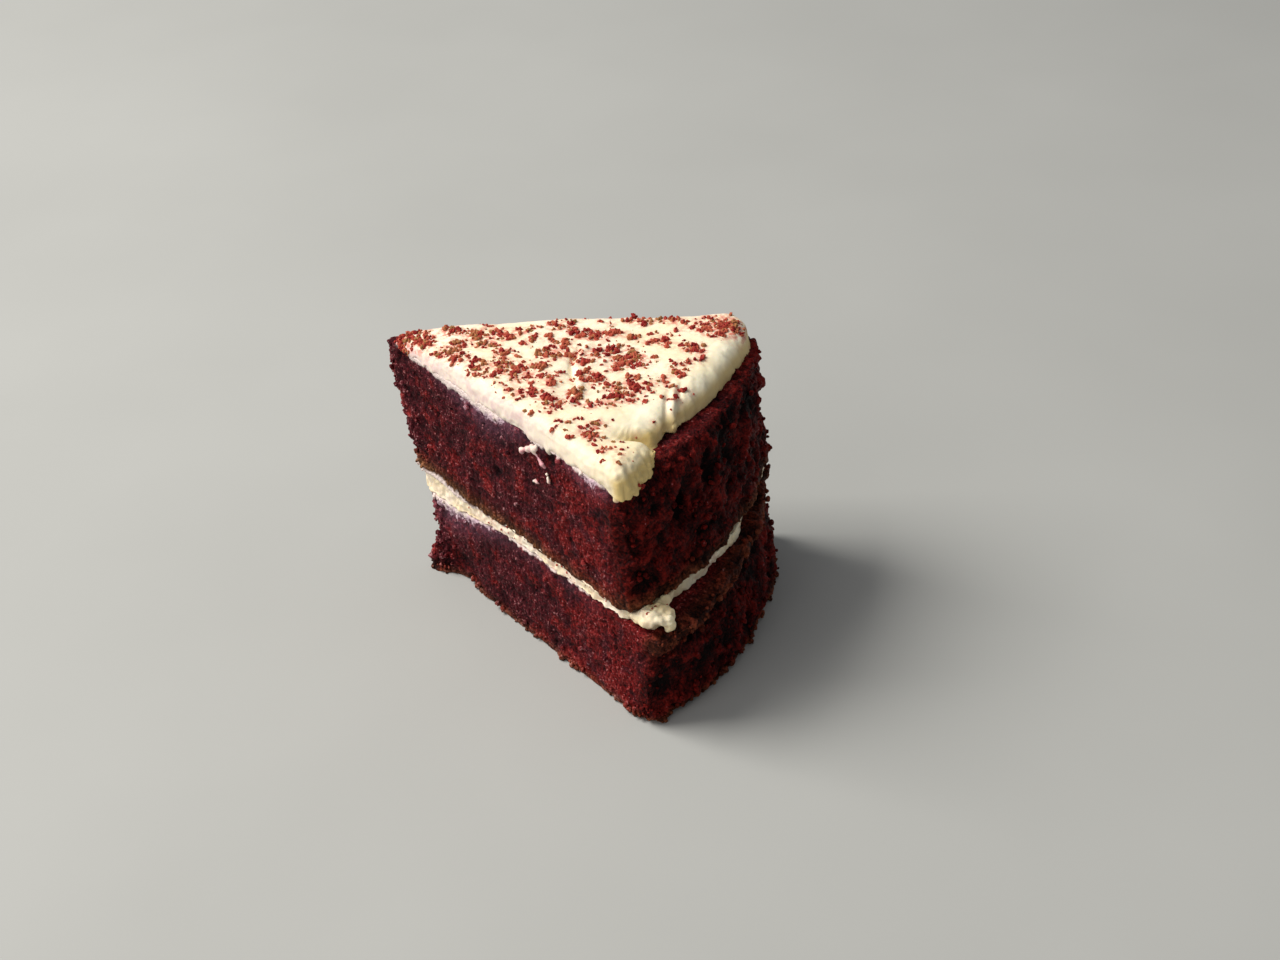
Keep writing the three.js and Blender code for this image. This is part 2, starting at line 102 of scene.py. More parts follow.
# What the topping has besides: a fold with a ridge beside it, an edge over the front cut that the
# knife rounded, a low tip and a ragged edge that hangs over the rim. Waves are given as layers of
# depth, wavelength and shift.
FOLD = {"from": (86, -29), "to": (99.5, -21), "width": 2.1, "depth": 2.3}
RIDGE = {"beside": 3.4, "width": 2.0, "rise": 0.9}
FOLD_SWAY = ((0.5, 5, 9),)
KNIFE_EDGE = {"width": 4.6, "drop": 1.7}
KNIFE_WAVES = ((0.6, 7, 0), (0.35, 2.5, 0))
LOW_TIP = {"depth": 1.8, "radius": 7}
RIM_LENGTH = 104
HANGING_WAVES = ((0.7, 2.4, 0), (0.4, 1.1, 0))
HANGING_CORNER = {"fraction": (0.01, 0.045), "share": 0.35}

# How finely the forms are divided: voxels, smoothing steps, the share of faces cut where a layer is
# covered, a plan's outline, the steps in from it, and the balls that grains are made from
SPONGE_VOXEL = 0.55
CREAM_VOXEL = 0.38
SMOOTHING = {"sponge": 8, "filling": 5, "topping": 3}
COVERED_SHARE_CUT = 0.93
COVERED_FROM_CUTS = 4
OUTLINE_POINTS = 620
RIM_STEPS = 300
CORNER_STEPS = 14
WALL_ROWS = 10
NEAR_EDGE = 10.0
FINE_STEP = 0.45
COARSE_STEP = 1.4
MIDDLE_REACH = 45.0
FINE_BALL = 3
BALL = 2
COARSE_BALL = 1

# Millimetres round the rim to a degree, on the sponges and on the topping
SPONGE_ARC = 2.0
TOPPING_ARC = 1.8

# Crumbs on the topping: the rule and the seed of the solids' crumbs, then smaller ones and specks
CRUMB_SEED = 20
CRUMB_HEAPS = (
    ((6, 4), (9, 5.25), 1),
    ((26, 9), (10.5, 12), 1.1),
    ((40, -6), (13.5, 12), 1.8),
    ((50, 11), (10.5, 9), 1.3),
    ((55, 26), (18, 7.5), 0.9),
    ((75, -9), (16.5, 7.5), 1.4),
    ((62, -17), (13.5, 7.5), 0.8),
    ((76, 16), (10.5, 15), 1.2),
    ((91, 19), (7.5, 12), 0.8),
    ((90, 0), (10.5, 7.5), 0.6),
    ((82, -27), (6, 12), 0.5),
    ((97, 40), (9, 7.5), 1),
    ((76, 42), (18, 6), 0.6),
)
CRUMB_CLUMP = 2.6
CRUMB_COUNT = 150
CRUMB_RADIUS = (0.9, 2.0)
CRUMB_CLEAR_OF_CUT = {"near_tip": 1.5, "far": 5.5, "length": 40}
CRUMB_CLEAR_OF_RIM = 4.5

# Smaller crumbs between them: places, spreads and counts
SPRINKLES = (
    ((3, 3.5), (4.5, 2.6), 64), ((-5, 5.5), (2.5, 1.6), 44), ((13, 10), (2.2, 1.2), 10),
    ((18, 11), (2.2, 1.2), 10), ((18, 2), (3, 3), 18), ((14, -3), (2, 1), 6), ((25, 15), (2, 1.5), 9),
    ((29, 13), (2, 2), 9), ((27, 7), (2.5, 3), 14), ((23, -3), (2.5, 2), 9), ((29, -9), (2, 1.5), 8),
    ((38, -3), (4.5, 5), 44), ((45, -7), (4.5, 3.5), 30), ((36, 19), (3, 2.5), 14),
    ((44, 25), (3, 2), 14), ((49, 9), (4.5, 4), 40), ((57, 11), (3, 3), 14), ((54, 22), (4, 2), 16),
    ((45, 29), (3.5, 1.5), 12), ((56, 32), (3, 2), 9), ((62, 26), (3.5, 3), 14), ((66, 37), (4, 1.5), 14),
    ((75, 40), (5, 2), 14), ((66, -2), (4, 2.5), 22), ((73, -5), (4, 2.5), 26), ((82, -8), (5, 2.5), 26),
    ((76, -16), (3, 2), 12), ((56, -5), (2.5, 2), 12), ((55, -14), (3, 2.5), 12),
    ((62, -19), (4, 2.5), 16), ((74, 11), (4.5, 4.5), 44), ((78, 26), (4, 3.5), 18),
    ((90, 25), (3, 2), 22), ((93, 14), (4, 3), 14), ((87, 1), (4.5, 2.5), 14), ((94, -3), (3, 2.5), 8),
    ((81, -26), (2.5, 5), 16), ((91, -34), (5, 5), 12), ((66, 12), (7, 6), 14), ((70, -27), (8, 3.5), 12),
    ((86, 34), (5, 4), 14), ((95, 41), (5, 3.6), 80), ((60, 3), (18, 16), 20), ((10, 0), (5, 2.5), 16),
    ((22, -6.5), (5, 2), 12), ((36, -12), (5, 2), 14), ((48, -18), (5, 2.5), 12),
    ((60, -25), (5, 2.5), 8), ((75, -33), (6, 2.5), 10), ((88, -40), (5, 3), 8), ((20, 12), (10, 2), 12),
    ((-2, 9.2), (3.5, 0.8), 18), ((8, 13.5), (4, 0.9), 16), ((20, 18.5), (5, 1.1), 16),
    ((60, 36), (9, 1.2), 16),
)
SPRINKLE_CLEAR = {"front": 1.2, "back": 0.6, "rim": 1.5, "tip": 1}
SPRINKLE_SHARE = 0.98
SPRINKLE_REACH = 0.85
SPRINKLE_RADIUS = (0.65, 1.6)
TIP_MIDDLE = (-9.5, 6.5, 0)

# Crumbs that cling to the walls: at the tip as the ray's angle, the span across and the count, then
# one on the lobe
TIP_CRUMBS = ((0.0, -6, 6, 60), (math.radians(63.7), -2, 16, 46), (math.radians(-61.5), -16, 2, 30))
TIP_CRUMB_HEIGHTS = (83.0, 85.0)
EDGE_CRUMBS = (
    (97.5, -16.2, 0.9), (94.4, -15.6, 0.8), (97.2, -8.5, 0.7), (100, 2.9, 0.7), (92.2, -23.4, 0.8),
)
LOBE_CRUMB = {"angle": -21.5, "height": 81, "radius": 1.8}
SPECK_COUNT = 300
SPECK_SPREAD = 2.2
SPECK_RADIUS = (0.14, 0.36)

# Each kind of crumb, from the solids' to the specks: its least and most grains, and how fine they are
CRUMB_KINDS = (((5, 9), BALL), ((2, 6), COARSE_BALL), ((1, 2), COARSE_BALL))

# How far off rays start: above the base, from a cut face or the tip, and from the axis to hit the rim
RAY_TOP = 120
RAY_START = 60
RAY_OUTSIDE = 130


def bump(distance, width):
    return np.exp(-((distance / width) ** 2))


def lerp(start, end, share):
    return start + (end - start) * share


def smoothstep(value, low, high):
    """0 up to low, 1 from high on, and smooth between them."""
    share = np.clip((value - low) / (high - low), 0, 1)
    return share * share * (3 - 2 * share)


def fade(value, low, high):
    """1 up to low, 0 from high on, and smooth between them."""
    return 1 - smoothstep(value, low, high)


def columns(*values):
    """Points from their coordinates, each of which may be one number for all of them."""
    return np.stack(np.broadcast_arrays(*values), axis=1)


def away(x, y, at):
    return np.hypot(x - at[0], y - at[1])


def angle_of(x, y):
    return np.degrees(np.arctan2(y, x))


def lattice_value(i, j, k):
    """A value between -1 and 1 for each place of a whole-number lattice."""
    a, b, c = (np.asarray(axis).astype(np.int64).astype(np.uint32) for axis in (i, j, k))
    mixed = (a * np.uint32(374761393)) ^ (b * np.uint32(668265263)) ^ (c * np.uint32(1274126177))
    mixed = (mixed ^ (mixed >> np.uint32(13))) * np.uint32(1103515245)
    mixed = mixed ^ (mixed >> np.uint32(16))
    return mixed / 2147483648 - 1


def noise(points, wavelength):
    """Smooth noise between -1 and 1 that changes over the given wavelength."""
    scaled = np.asarray(points, float) / wavelength
    home = np.floor(scaled).astype(np.int64)
    part = smoothstep(scaled - home, 0, 1)
    total = np.zeros(len(scaled))
    for corner in itertools.product((0, 1), repeat=3):
        weight = np.prod(np.where(corner, part, 1 - part), axis=1)
        total += weight * lattice_value(*(home + corner).T)
    return total


def cells(points, size):
    """Distance, in cells, to the nearest of points scattered one to a cell, and a random value
    between 0 and 1 of that point."""
    scaled = np.asarray(points, float) / size
    home = np.floor(scaled).astype(np.int64)
    nearest = np.full(len(scaled), np.inf)
    tone = np.zeros(len(scaled))
    for step in itertools.product((-1, 0, 1), repeat=3):
        i, j, k = (home + step).T
        jitter = (lattice_value(i + 57, j, k), lattice_value(i, j + 113, k), lattice_value(i, j, k + 191))
        seed = home + step + 0.5 + 0.45 * np.stack(jitter, axis=1)
        distance = np.linalg.norm(scaled - seed, axis=1)
        nearer = distance < nearest
        tone = np.where(nearer, 0.5 + 0.5 * lattice_value(i + 31, j + 17, k), tone)
        nearest = np.where(nearer, distance, nearest)
    return nearest, tone


def waves(points, layers):
    """Sum of noises from layers of (depth, wavelength, shift to another part of the noise)."""
    return sum(depth * noise(points + shift, wavelength) for depth, wavelength, shift in layers)


def notched(points, notches):
    """Depth of round notches given as (middle, width, depth)."""
    return sum(depth * bump(np.linalg.norm(points - at, axis=1), width) for at, width, depth in notches)


def rim_radius(radii, fraction):
    """Radius of a rim at a fraction of the way round it, on a smooth curve through its radii."""
    count = radii.shape[1]
    place = (count - 1) * np.clip(fraction, 0, 1)
    cell = np.minimum(np.floor(place).astype(int), count - 1)
    t = place - cell

    def take(step):
        return np.take_along_axis(radii, np.clip(cell + step, 0, count - 1)[:, None], 1)[:, 0]

    before, start, end, after = take(-1), take(0), take(1), take(2)
    v0 = (end - before) / 2
    v1 = (after - start) / 2
    cubic = (2 * start - 2 * end + v0 + v1) * t**3
    return cubic + (-3 * start + 3 * end - 2 * v0 - v1) * t**2 + v0 * t + start


def rim_fraction(x, y):
    return (np.arctan2(y, x) - FRONT_ANGLE) / (BACK_ANGLE - FRONT_ANGLE)


def plan_at(plan, z):
    """A plan's tips and rim radii at a height or at the heights of points."""
    rise = np.clip((np.atleast_1d(z) - plan["from"]) / (plan["to"] - plan["from"]), 0, 1)[:, None]
    tip = lerp(np.array(plan["low"]["tip"], float), np.array(plan["high"]["tip"], float), rise)
    radii = lerp(np.array(plan["low"]["rim"], float), np.array(plan["high"]["rim"], float), rise)
    return tip, radii


def rim_point(radii, fraction):
    angle = lerp(FRONT_ANGLE, BACK_ANGLE, fraction)
    radius = rim_radius(radii, fraction)
    return np.stack([radius * np.cos(angle), radius * np.sin(angle)], axis=1)


def left_of(start, end, x, y):
    run = end - start
    crossed = run[:, 0] * (y - start[:, 1]) - run[:, 1] * (x - start[:, 0])
    return crossed / np.linalg.norm(run, axis=1)


def insets(plan, x, y, z):
    """How far points are in from the rim, from each cut face and from the nearer of the two, and
    where they are round the rim, past the tip and along the front face."""
    tip, radii = plan_at(plan, z)
    ends = np.zeros(len(tip))
    fraction = rim_fraction(x, y)
    front = left_of(tip, rim_point(radii, ends), x, y)
    back = -left_of(tip, rim_point(radii, ends + 1), x, y)
    return {
        "fraction": fraction,
        "rim": rim_radius(radii, fraction) - np.hypot(x, y),
        "front": front,
        "back": back,
        "side": np.minimum(front, back),
        "tip": x - tip[:, 0],
        "along": x * math.cos(FRONT_ANGLE) + y * math.sin(FRONT_ANGLE),
    }


def beside(line, x, y):
    """Distance to the left of a line."""
    return left_of(np.array([line["from"]], float), np.array([line["to"]], float), x, y)


def upper_top(x, y):
    """Height of the upper sponge's top face, as the solid has it."""
    level = lerp(UPPER_TOP["tip"], UPPER_TOP["rim"], smoothstep(x, *THINNING))
    return level + FACE_WAVE * noise(columns(x, y, UPPER_TOP["rim"]), UPPER_TOP["wavelength"])


def furrow_steps(x, y):
    """Distance to the left of the furrow, and the fraction of the way along it."""
    start = np.array(FURROW["from"], float)
    run = FURROW["to"] - start
    fraction = ((x - start[0]) * run[0] + (y - start[1]) * run[1]) / (run @ run)
    return beside(FURROW, x, y), fraction


def crown(x, y):
    """Height of the topping's top face, as the solid has it."""
    inset = insets(TOPPING, x, y, CROWN)
    lowered = CROWN_TIP["drop"] * np.exp((CROWN_TIP["x"] - x) / CROWN_TIP["length"])
    step, run = furrow_steps(x, y)
    reach = smoothstep(run, -0.1, 0.15) * fade(run, 0.8, 1.1)
    furrow = FURROW["depth"] * reach * bump(step - FURROW["width"] / 2, FURROW["width"])
    dimple = DIMPLE["depth"] * bump(away(x, y, DIMPLE["at"]), DIMPLE["radius"])
    lobe = LOBE["rise"] * bump(away(x, y, LOBE["at"]), LOBE["radius"])
    bend = np.clip(1 - inset["rim"] / EDGE_ROUND, 0, 1)
    edge = EDGE_DROP * (1 - np.sqrt(1 - bend**2))
    ribs = RIBS["depth"] * bend * np.sin(2 * np.pi * RIBS["count"] * inset["fraction"])
    cut = np.clip(1 - inset["side"] / CUT_EDGE_ROUND, 0, 1) ** 2
    waved = waves(columns(x, y, 0), CROWN_WAVES)
    return CROWN + waved + lobe - lowered - furrow - dimple - edge + ribs - cut


def soft_crown(x, y):
    """The crown with the fold and its ridge, the edge that the knife rounded, and the low tip."""
    inset = insets(TOPPING, x, y, CROWN)
    step = beside(FOLD, x, y) + waves(columns(x, y, 0), FOLD_SWAY)
    run = (x - FOLD["from"][0]) / (FOLD["to"][0] - FOLD["from"][0])
    ridge = RIDGE["rise"] * bump(step - RIDGE["beside"], RIDGE["width"])
    fold = smoothstep(run, -0.1, 0.5) * (ridge - FOLD["depth"] * bump(step, FOLD["width"]))
    soft = np.clip(1 - inset["front"] / KNIFE_EDGE["width"], 0, 1) ** 2
    edge = soft * (KNIFE_EDGE["drop"] + waves(columns(inset["along"], 0, 0), KNIFE_WAVES))
    tip = LOW_TIP["depth"] * bump(away(x, y, TIP_MIDDLE), LOW_TIP["radius"])
    return crown(x, y) + fold - edge - tip


def topping_base(x, y):
    """Height of the topping's underside, which droops over the shoulder at the front corner."""
    past = smoothstep(np.hypot(x, y), *DROOP["radius"])
    fraction = rim_fraction(x, y)
    wide = smoothstep(fraction, *DROOP["fraction"])
    corner = 1 - lerp(wide, smoothstep(fraction, *HANGING_CORNER["fraction"]), HANGING_CORNER["share"])
    ragged = waves(columns(RIM_LENGTH * fraction, 0, 0), HANGING_WAVES)
    return upper_top(x, y) - past * (DROOP["depth"] * corner + ragged)


# Meshes as arrays: points in the slice's frame, and faces


def linked(name, data):
    """An object of the scene that holds the data."""
    made = bpy.data.objects.new(name, data)
    bpy.context.scene.collection.objects.link(made)
    return made


def mesh_from(name, points, faces, attributes=None):
    """An object from points in the slice's frame, smooth, with a number for each point by name."""
    mesh = bpy.data.meshes.new(name)
    mesh.from_pydata(((points + APEX) / METRE).tolist(), [], [list(face) for face in faces])
    mesh.polygons.foreach_set("use_smooth", np.ones(len(mesh.polygons), bool))
    for label, values in (attributes or {}).items():
        mesh.attributes.new(label, "FLOAT", "POINT").data.foreach_set("value", values.astype(np.float32))
    return linked(name, mesh)


def points_of(mesh):
    flat = np.zeros(3 * len(mesh.vertices))
    mesh.vertices.foreach_get("co", flat)
    return flat.reshape(-1, 3) * METRE - APEX


def normals_of(mesh):
    flat = np.zeros(3 * len(mesh.vertices))
    mesh.vertex_normals.foreach_get("vector", flat)
    return flat.reshape(-1, 3)


def move_points(mesh, points):
    mesh.vertices.foreach_set("co", ((points + APEX) / METRE).ravel())
    mesh.update()


def faces_of(mesh):
    return [tuple(polygon.vertices) for polygon in mesh.polygons]


def applied(source):
    """The mesh of an object with its modifiers. The object itself is removed."""
    graph = bpy.context.evaluated_depsgraph_get()
    mesh = bpy.data.meshes.new_from_object(source.evaluated_get(graph))
    bpy.data.objects.remove(source)
    return mesh


def remeshed(source, voxel, smoothing):
    """The mesh of an object, divided evenly and smoothed. The object itself is removed."""
    even = source.modifiers.new("even", "REMESH")
    even.mode = "VOXEL"
    even.voxel_size = voxel / METRE
    soft = source.modifiers.new("soft", "SMOOTH")
    soft.iterations = smoothing
    soft.factor = 0.5
    return applied(source)


def is_covered(plan, mesh, top_rim, base_rim):
    """Which points of a layer lie on a face that something else covers, that far in from the rim."""
    rise = normals_of(mesh)[:, 2]
    inset = insets(plan, *points_of(mesh).T)
    inside = (np.abs(rise) > 0.9) & (inset["side"] > COVERED_FROM_CUTS)
    return inside & (inset["rim"] > np.where(rise > 0, top_rim, base_rim))


def thinned(mesh, covered):
    """The mesh with few faces where it is covered. The mesh itself is removed."""
    source = linked("even", mesh)
    group = source.vertex_groups.new(name="covered")
    group.add(np.flatnonzero(covered).tolist(), 1.0, "REPLACE")
    fewer = source.modifiers.new("fewer", "DECIMATE")
    fewer.ratio = 1 - COVERED_SHARE_CUT * float(np.mean(covered))
    fewer.vertex_group = group.name
    made = applied(source)
    bpy.data.meshes.remove(mesh)
    return made


def copy_of(node):
    """A copy of a solid with its corners joined, to be divided anew."""
    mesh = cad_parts[node].data.copy()
    work = bmesh.new()
    work.from_mesh(mesh)
    bmesh.ops.remove_doubles(work, verts=work.verts, dist=1e-6)
    work.to_mesh(mesh)
    work.free()
    return linked(node + "_copy", mesh)


def ball(fineness):
    """Points and faces of a ball of radius 1."""
    work = bmesh.new()
    bmesh.ops.create_icosphere(work, subdivisions=fineness, radius=1)
    points = np.array([vertex.co for vertex in work.verts])
    faces = np.array([[vertex.index for vertex in face.verts] for face in work.faces])
    work.free()
    return points, faces


def turns(count, random):
    """Random rotation matrices."""
    q = random.normal(size=(count, 4))
    w, x, y, z = (q / np.linalg.norm(q, axis=1)[:, None]).T
    rows = (
        (1 - 2 * (y * y + z * z), 2 * (x * y - z * w), 2 * (x * z + y * w)),
        (2 * (x * y + z * w), 1 - 2 * (x * x + z * z), 2 * (y * z - x * w)),
        (2 * (x * z - y * w), 2 * (y * z + x * w), 1 - 2 * (x * x + y * y)),
    )
    return np.array(rows).transpose(2, 0, 1)


# Grains: the wavelength of their unevenness, as a share of their radius, and where in the noise it is
GRAIN_UNEVENNESS = 0.8
GRAIN_SHIFT = 300


def grains(centres, radii, fineness, roughness, flatness, random):
    """Many small uneven grains as one set of points and faces, each flattened by its own amount."""
    form, faces = ball(fineness)
    count = len(centres)
    squeeze = 1 - flatness * random.random((count, 3))
    shaped = np.einsum("nij,npj->npi", turns(count, random), form[None] * squeeze[:, None])
    rounded = (centres[:, None] + radii[:, None, None] * shaped).reshape(-1, 3)
    uneven = 1 + roughness * noise(rounded + GRAIN_SHIFT, GRAIN_UNEVENNESS * float(np.mean(radii)))
    middles = np.repeat(centres, len(form), axis=0)
    corners = (faces[None] + len(form) * np.arange(count)[:, None, None]).reshape(-1, 3)
    return middles + (rounded - middles) * uneven[:, None], corners.tolist()


def joined(parts):
    """Sets of points and faces as one set."""
    faces = []
    start = 0
    for part_points, part_faces in parts:
        faces += [[corner + start for corner in face] for face in part_faces]
        start += len(part_points)
    return np.concatenate([points for points, _ in parts]), faces


# Materials


class Nodes:
    """A material's nodes, made and linked by name."""

    def __init__(self, name):
        self.material = bpy.data.materials.new(name)
        self.material.use_nodes = True
        self.tree = self.material.node_tree
        self.tree.nodes.clear()
        self.shader = self.add("ShaderNodeBsdfPrincipled")
        output = self.add("ShaderNodeOutputMaterial")
        self.tree.links.new(self.shader.outputs["BSDF"], output.inputs["Surface"])
        self.place = self.add("ShaderNodeTexCoord").outputs["Object"]

    def add(self, kind, **settings):
        made = self.tree.nodes.new(kind)
        for key, value in settings.items():
            setattr(made, key, value)
        return made

    def link(self, source, target):
        """Feed an input from an output, or set it to a number or to a colour as a screen shows it."""
        if isinstance(source, tuple):
            target.default_value = colour(*source)
        elif isinstance(source, (int, float)):
            target.default_value = source
        else:
            self.tree.links.new(source, target)

    def attribute(self, name):
        return self.add("ShaderNodeAttribute", attribute_name=name).outputs["Fac"]

    def noise(self, wavelength, detail, roughness=0.5):
        """Noise between 0 and 1 of a wavelength in millimetres."""
        scaled = self.add("ShaderNodeMapping")
        scaled.inputs["Scale"].default_value = [METRE / wavelength] * 3
        self.link(self.place, scaled.inputs["Vector"])
        made = self.add("ShaderNodeTexNoise")
        made.inputs["Scale"].default_value = 1.0
        made.inputs["Detail"].default_value = detail
        made.inputs["Roughness"].default_value = roughness
        self.link(scaled.outputs["Vector"], made.inputs["Vector"])
        return made.outputs["Fac"]

    def math(self, operation, first, second):
        made = self.add("ShaderNodeMath", operation=operation)
        self.link(first, made.inputs[0])
        self.link(second, made.inputs[1])
        return made.outputs[0]

    def times(self, first, second):
        return self.math("MULTIPLY", first, second)

    def plus(self, first, second):
        return self.math("ADD", first, second)

    def between(self, value, low, high):
        """0 up to low, 1 from high on, and smooth between them."""
        made = self.add("ShaderNodeMapRange", interpolation_type="SMOOTHSTEP")
        self.link(value, made.inputs["Value"])
        made.inputs["From Min"].default_value = low
        made.inputs["From Max"].default_value = high
        return made.outputs["Result"]

    def mix(self, share, first, second):
        made = self.add("ShaderNodeMix", data_type="RGBA")
        self.link(share, made.inputs["Factor"])
        self.link(first, made.inputs[6])
        self.link(second, made.inputs[7])
        return made.outputs[2]

    def ramp(self, value, *stops):
        """A colour by a value, from stops of (value, colour)."""
        made = self.add("ShaderNodeValToRGB")
        self.link(value, made.inputs["Fac"])
        elements = made.color_ramp.elements
        while len(elements) < len(stops):
            elements.new(0.5)
        for element, (position, shown) in zip(elements, stops):
            element.position = position
            element.color = colour(*shown)
        return made.outputs["Color"]

    def bumps(self, *layers):
        """Fine relief from (height, millimetres) layers."""
        normal = None
        for height, depth in layers:
            made = self.add("ShaderNodeBump")
            made.inputs["Strength"].default_value = 1.0
            made.inputs["Distance"].default_value = depth / METRE
            self.link(height, made.inputs["Height"])
            if normal is not None:
                self.link(normal, made.inputs["Normal"])
            normal = made.outputs["Normal"]
        self.link(normal, self.shader.inputs["Normal"])

    def finished(self, base, roughness, specular):
        """The material, with its colour and its gloss."""
        self.link(base, self.shader.inputs["Base Color"])
        self.shader.inputs["Roughness"].default_value = roughness
        self.shader.inputs["Specular IOR Level"].default_value = specular
        return self.material


def colour(red, green, blue):
    """A colour as a screen shows it, from 0 to 255, as the shaders take it."""
    shares = [value / 255 for value in (red, green, blue)]
    return (*(((c + 0.055) / 1.055) ** 2.4 if c > 0.04 else c / 12.92 for c in shares), 1.0)


def sponge_material(name):
    """Cake crumb, coloured by its relief with painted shade in its pores and painted highlights and
    glints on its grains, painted shade on the rim side, brown where it was baked against the tin, with a
    film of cream along the topping and the filling."""
    nodes = Nodes(name)
    grain = nodes.noise(0.8, 3, 0.6)
    relief = nodes.plus(nodes.attribute("relief"), nodes.times(nodes.math("SUBTRACT", grain, 0.5), 1.6))
    # The crumb's colour follows its relief, here and in the ramps below: painted shade in the pores,
    # painted highlights on the grain tops
    crumb = nodes.ramp(
        relief,
        (0.12, (22, 3, 7)),
        (0.42, (56, 12, 18)),
        (0.68, (82, 22, 29)),
        (0.85, (110, 48, 54)),
        (0.97, (168, 122, 124)),
    )
    red = nodes.plus(nodes.noise(7.0, 2), nodes.times(nodes.attribute("near"), 0.16))
    bright = nodes.ramp(relief, (0.15, (32, 3, 4)), (0.55, (104, 16, 17)), (0.95, (164, 60, 56)))
    crumb = nodes.mix(nodes.times(nodes.between(red, 0.5, 0.68), 0.9), crumb, bright)
    # Painted glints: small pale pink spots on the raised grains
    painted_glint = nodes.times(nodes.between(nodes.noise(0.75, 1), 0.6, 0.68), nodes.between(relief, 0.45, 0.7))
    crumb = nodes.mix(nodes.times(painted_glint, 0.5), crumb, (196, 138, 136))
    # Painted shade: the rim side, turned away from the light, in near-black reds
    painted_rim_shade = nodes.ramp(relief, (0.14, (8, 0, 0)), (0.5, (58, 4, 4)), (0.95, (118, 24, 18)))
    crumb = nodes.mix(nodes.attribute("rim"), crumb, painted_rim_shade)
    crust = nodes.times(nodes.attribute("crust"), nodes.between(nodes.noise(2.2, 3), 0.15, 0.45))
    baked = nodes.ramp(relief, (0.1, (40, 14, 8)), (0.5, (88, 54, 30)), (0.92, (158, 112, 72)))
    crumb = nodes.mix(crust, crumb, baked)
    smear = nodes.attribute("smear")
    crumb = nodes.mix(nodes.times(smear, 0.42), crumb, (134, 92, 112))
    patchy = nodes.times(nodes.math("SUBTRACT", nodes.noise(2.4, 5, 0.7), 0.5), 2.6)
    film = nodes.plus(nodes.plus(nodes.math("POWER", smear, 2.5), patchy), nodes.times(relief, 0.5))
    crumb = nodes.mix(nodes.times(nodes.between(film, 0.75, 1.25), 0.85), crumb, (222, 194, 204))
    crumb = nodes.mix(nodes.attribute("cream"), crumb, (226, 207, 200))
    nodes.bumps((nodes.noise(0.5, 2), 0.3), (grain, 0.5))
    return nodes.finished(crumb, roughness=0.55, specular=0.07)


def cream_material(name):
    """Cream cheese frosting: ivory, whiter on its cut side, painted yellow where it lies in shade,
    stained near the crumbs, soft to light.
    """
    nodes = Nodes(name)
    body = nodes.mix(nodes.between(nodes.noise(14.0, 3), 0.3, 0.75), (252, 242, 214), (247, 232, 194))
    cut = nodes.mix(nodes.between(nodes.noise(3.2, 4), 0.35, 0.65), (236, 220, 202), (220, 194, 186))
    body = nodes.mix(nodes.attribute("cut"), body, cut)
    # Painted shade: a deep yellow where the cream lies in shade, in folds and under the rim edge
    body = nodes.mix(nodes.attribute("painted_shade"), body, (226, 198, 130))
    stain = nodes.times(nodes.attribute("stain"), nodes.between(nodes.noise(1.5, 4), 0.34, 0.66))
    body = nodes.mix(stain, body, (214, 132, 112))
    body = nodes.mix(nodes.attribute("smeared"), body, (214, 150, 158))
    nodes.shader.inputs["Subsurface Weight"].default_value = 0.15
    nodes.shader.inputs["Subsurface Radius"].default_value = (1.0, 0.75, 0.45)
    nodes.shader.inputs["Subsurface Scale"].default_value = 0.0015
    nodes.bumps((nodes.noise(0.7, 3), 0.05), (nodes.noise(3.0, 2), 0.12))
    return nodes.finished(body, roughness=0.55, specular=0.35)


def crumb_material(name):
    """Dried cake crumbs: brick red to brown, each of its own tone."""
    nodes = Nodes(name)
    grain = nodes.noise(0.8, 3)
    mixed = nodes.plus(nodes.times(nodes.attribute("tone"), 0.75), nodes.times(grain, 0.35))
    body = nodes.ramp(
        mixed,
        (0.12, (118, 16, 22)),
        (0.36, (166, 60, 50)),
        (0.62, (182, 92, 68)),
        (0.92, (156, 114, 70)),
    )
    nodes.bumps((grain, 0.2))
    return nodes.finished(body, roughness=0.8, specular=0.15)


def floor_material():
    nodes = Nodes("pale_floor")
    body = nodes.mix(nodes.noise(160.0, 3), (165, 165, 161), (177, 177, 173))
    return nodes.finished(body, roughness=0.6, specular=0.2)


# Sponges


def torn_edge(plan, points, normals):
    """How far in each point of a sponge is, and how much it belongs to the rim and to the tip."""
    inset = insets(plan, *points.T)
    side = 1 - np.abs(normals[:, 2])
    outward = normals[:, 0] * np.cos(np.arctan2(points[:, 1], points[:, 0]))
    faces_out = smoothstep(side, 0.2, 0.6) * smoothstep(outward, 0.2, 0.6)
    shoulder = 0.8 * smoothstep(normals[:, 2], 0.3, 0.7)
    rim = fade(inset["rim"], 2, 7) * np.maximum(faces_out, shoulder)
    tip = fade(inset["tip"], 3, 15)
    return inset, rim, tip


# Torn crumb: the sizes of its grains, pores and cobbles, how its rows sway, and the distance from a
# grain's middle at which it is neither high nor low
GRAIN = 1.8
FINE_GRAIN = 1.05
PORE = 3.6
COBBLE = 2.9
SWAY = {"wavelength": 2.6, "shifts": (11, 23, 37), "grains": 0.9, "cobbles": 1.6}
LEVEL = 0.46

# Relief over the foot, over the floor and on covered faces, and the cream's where it clings
FOOT = {"relief": 1.1, "height": 3, "mean": 0.2, "waves": ((1, 3.2, 0), (0.6, 1.7, 0))}
FLOOR_RELIEF = 0.25
COVERED_RELIEF = 0.1
CREAM_RELIEF = {"height": 0.3, "share": 0.6}
LOOSE_RADIUS = (0.45, 1.25)
LOOSE_TONES = (0.0, 0.9)


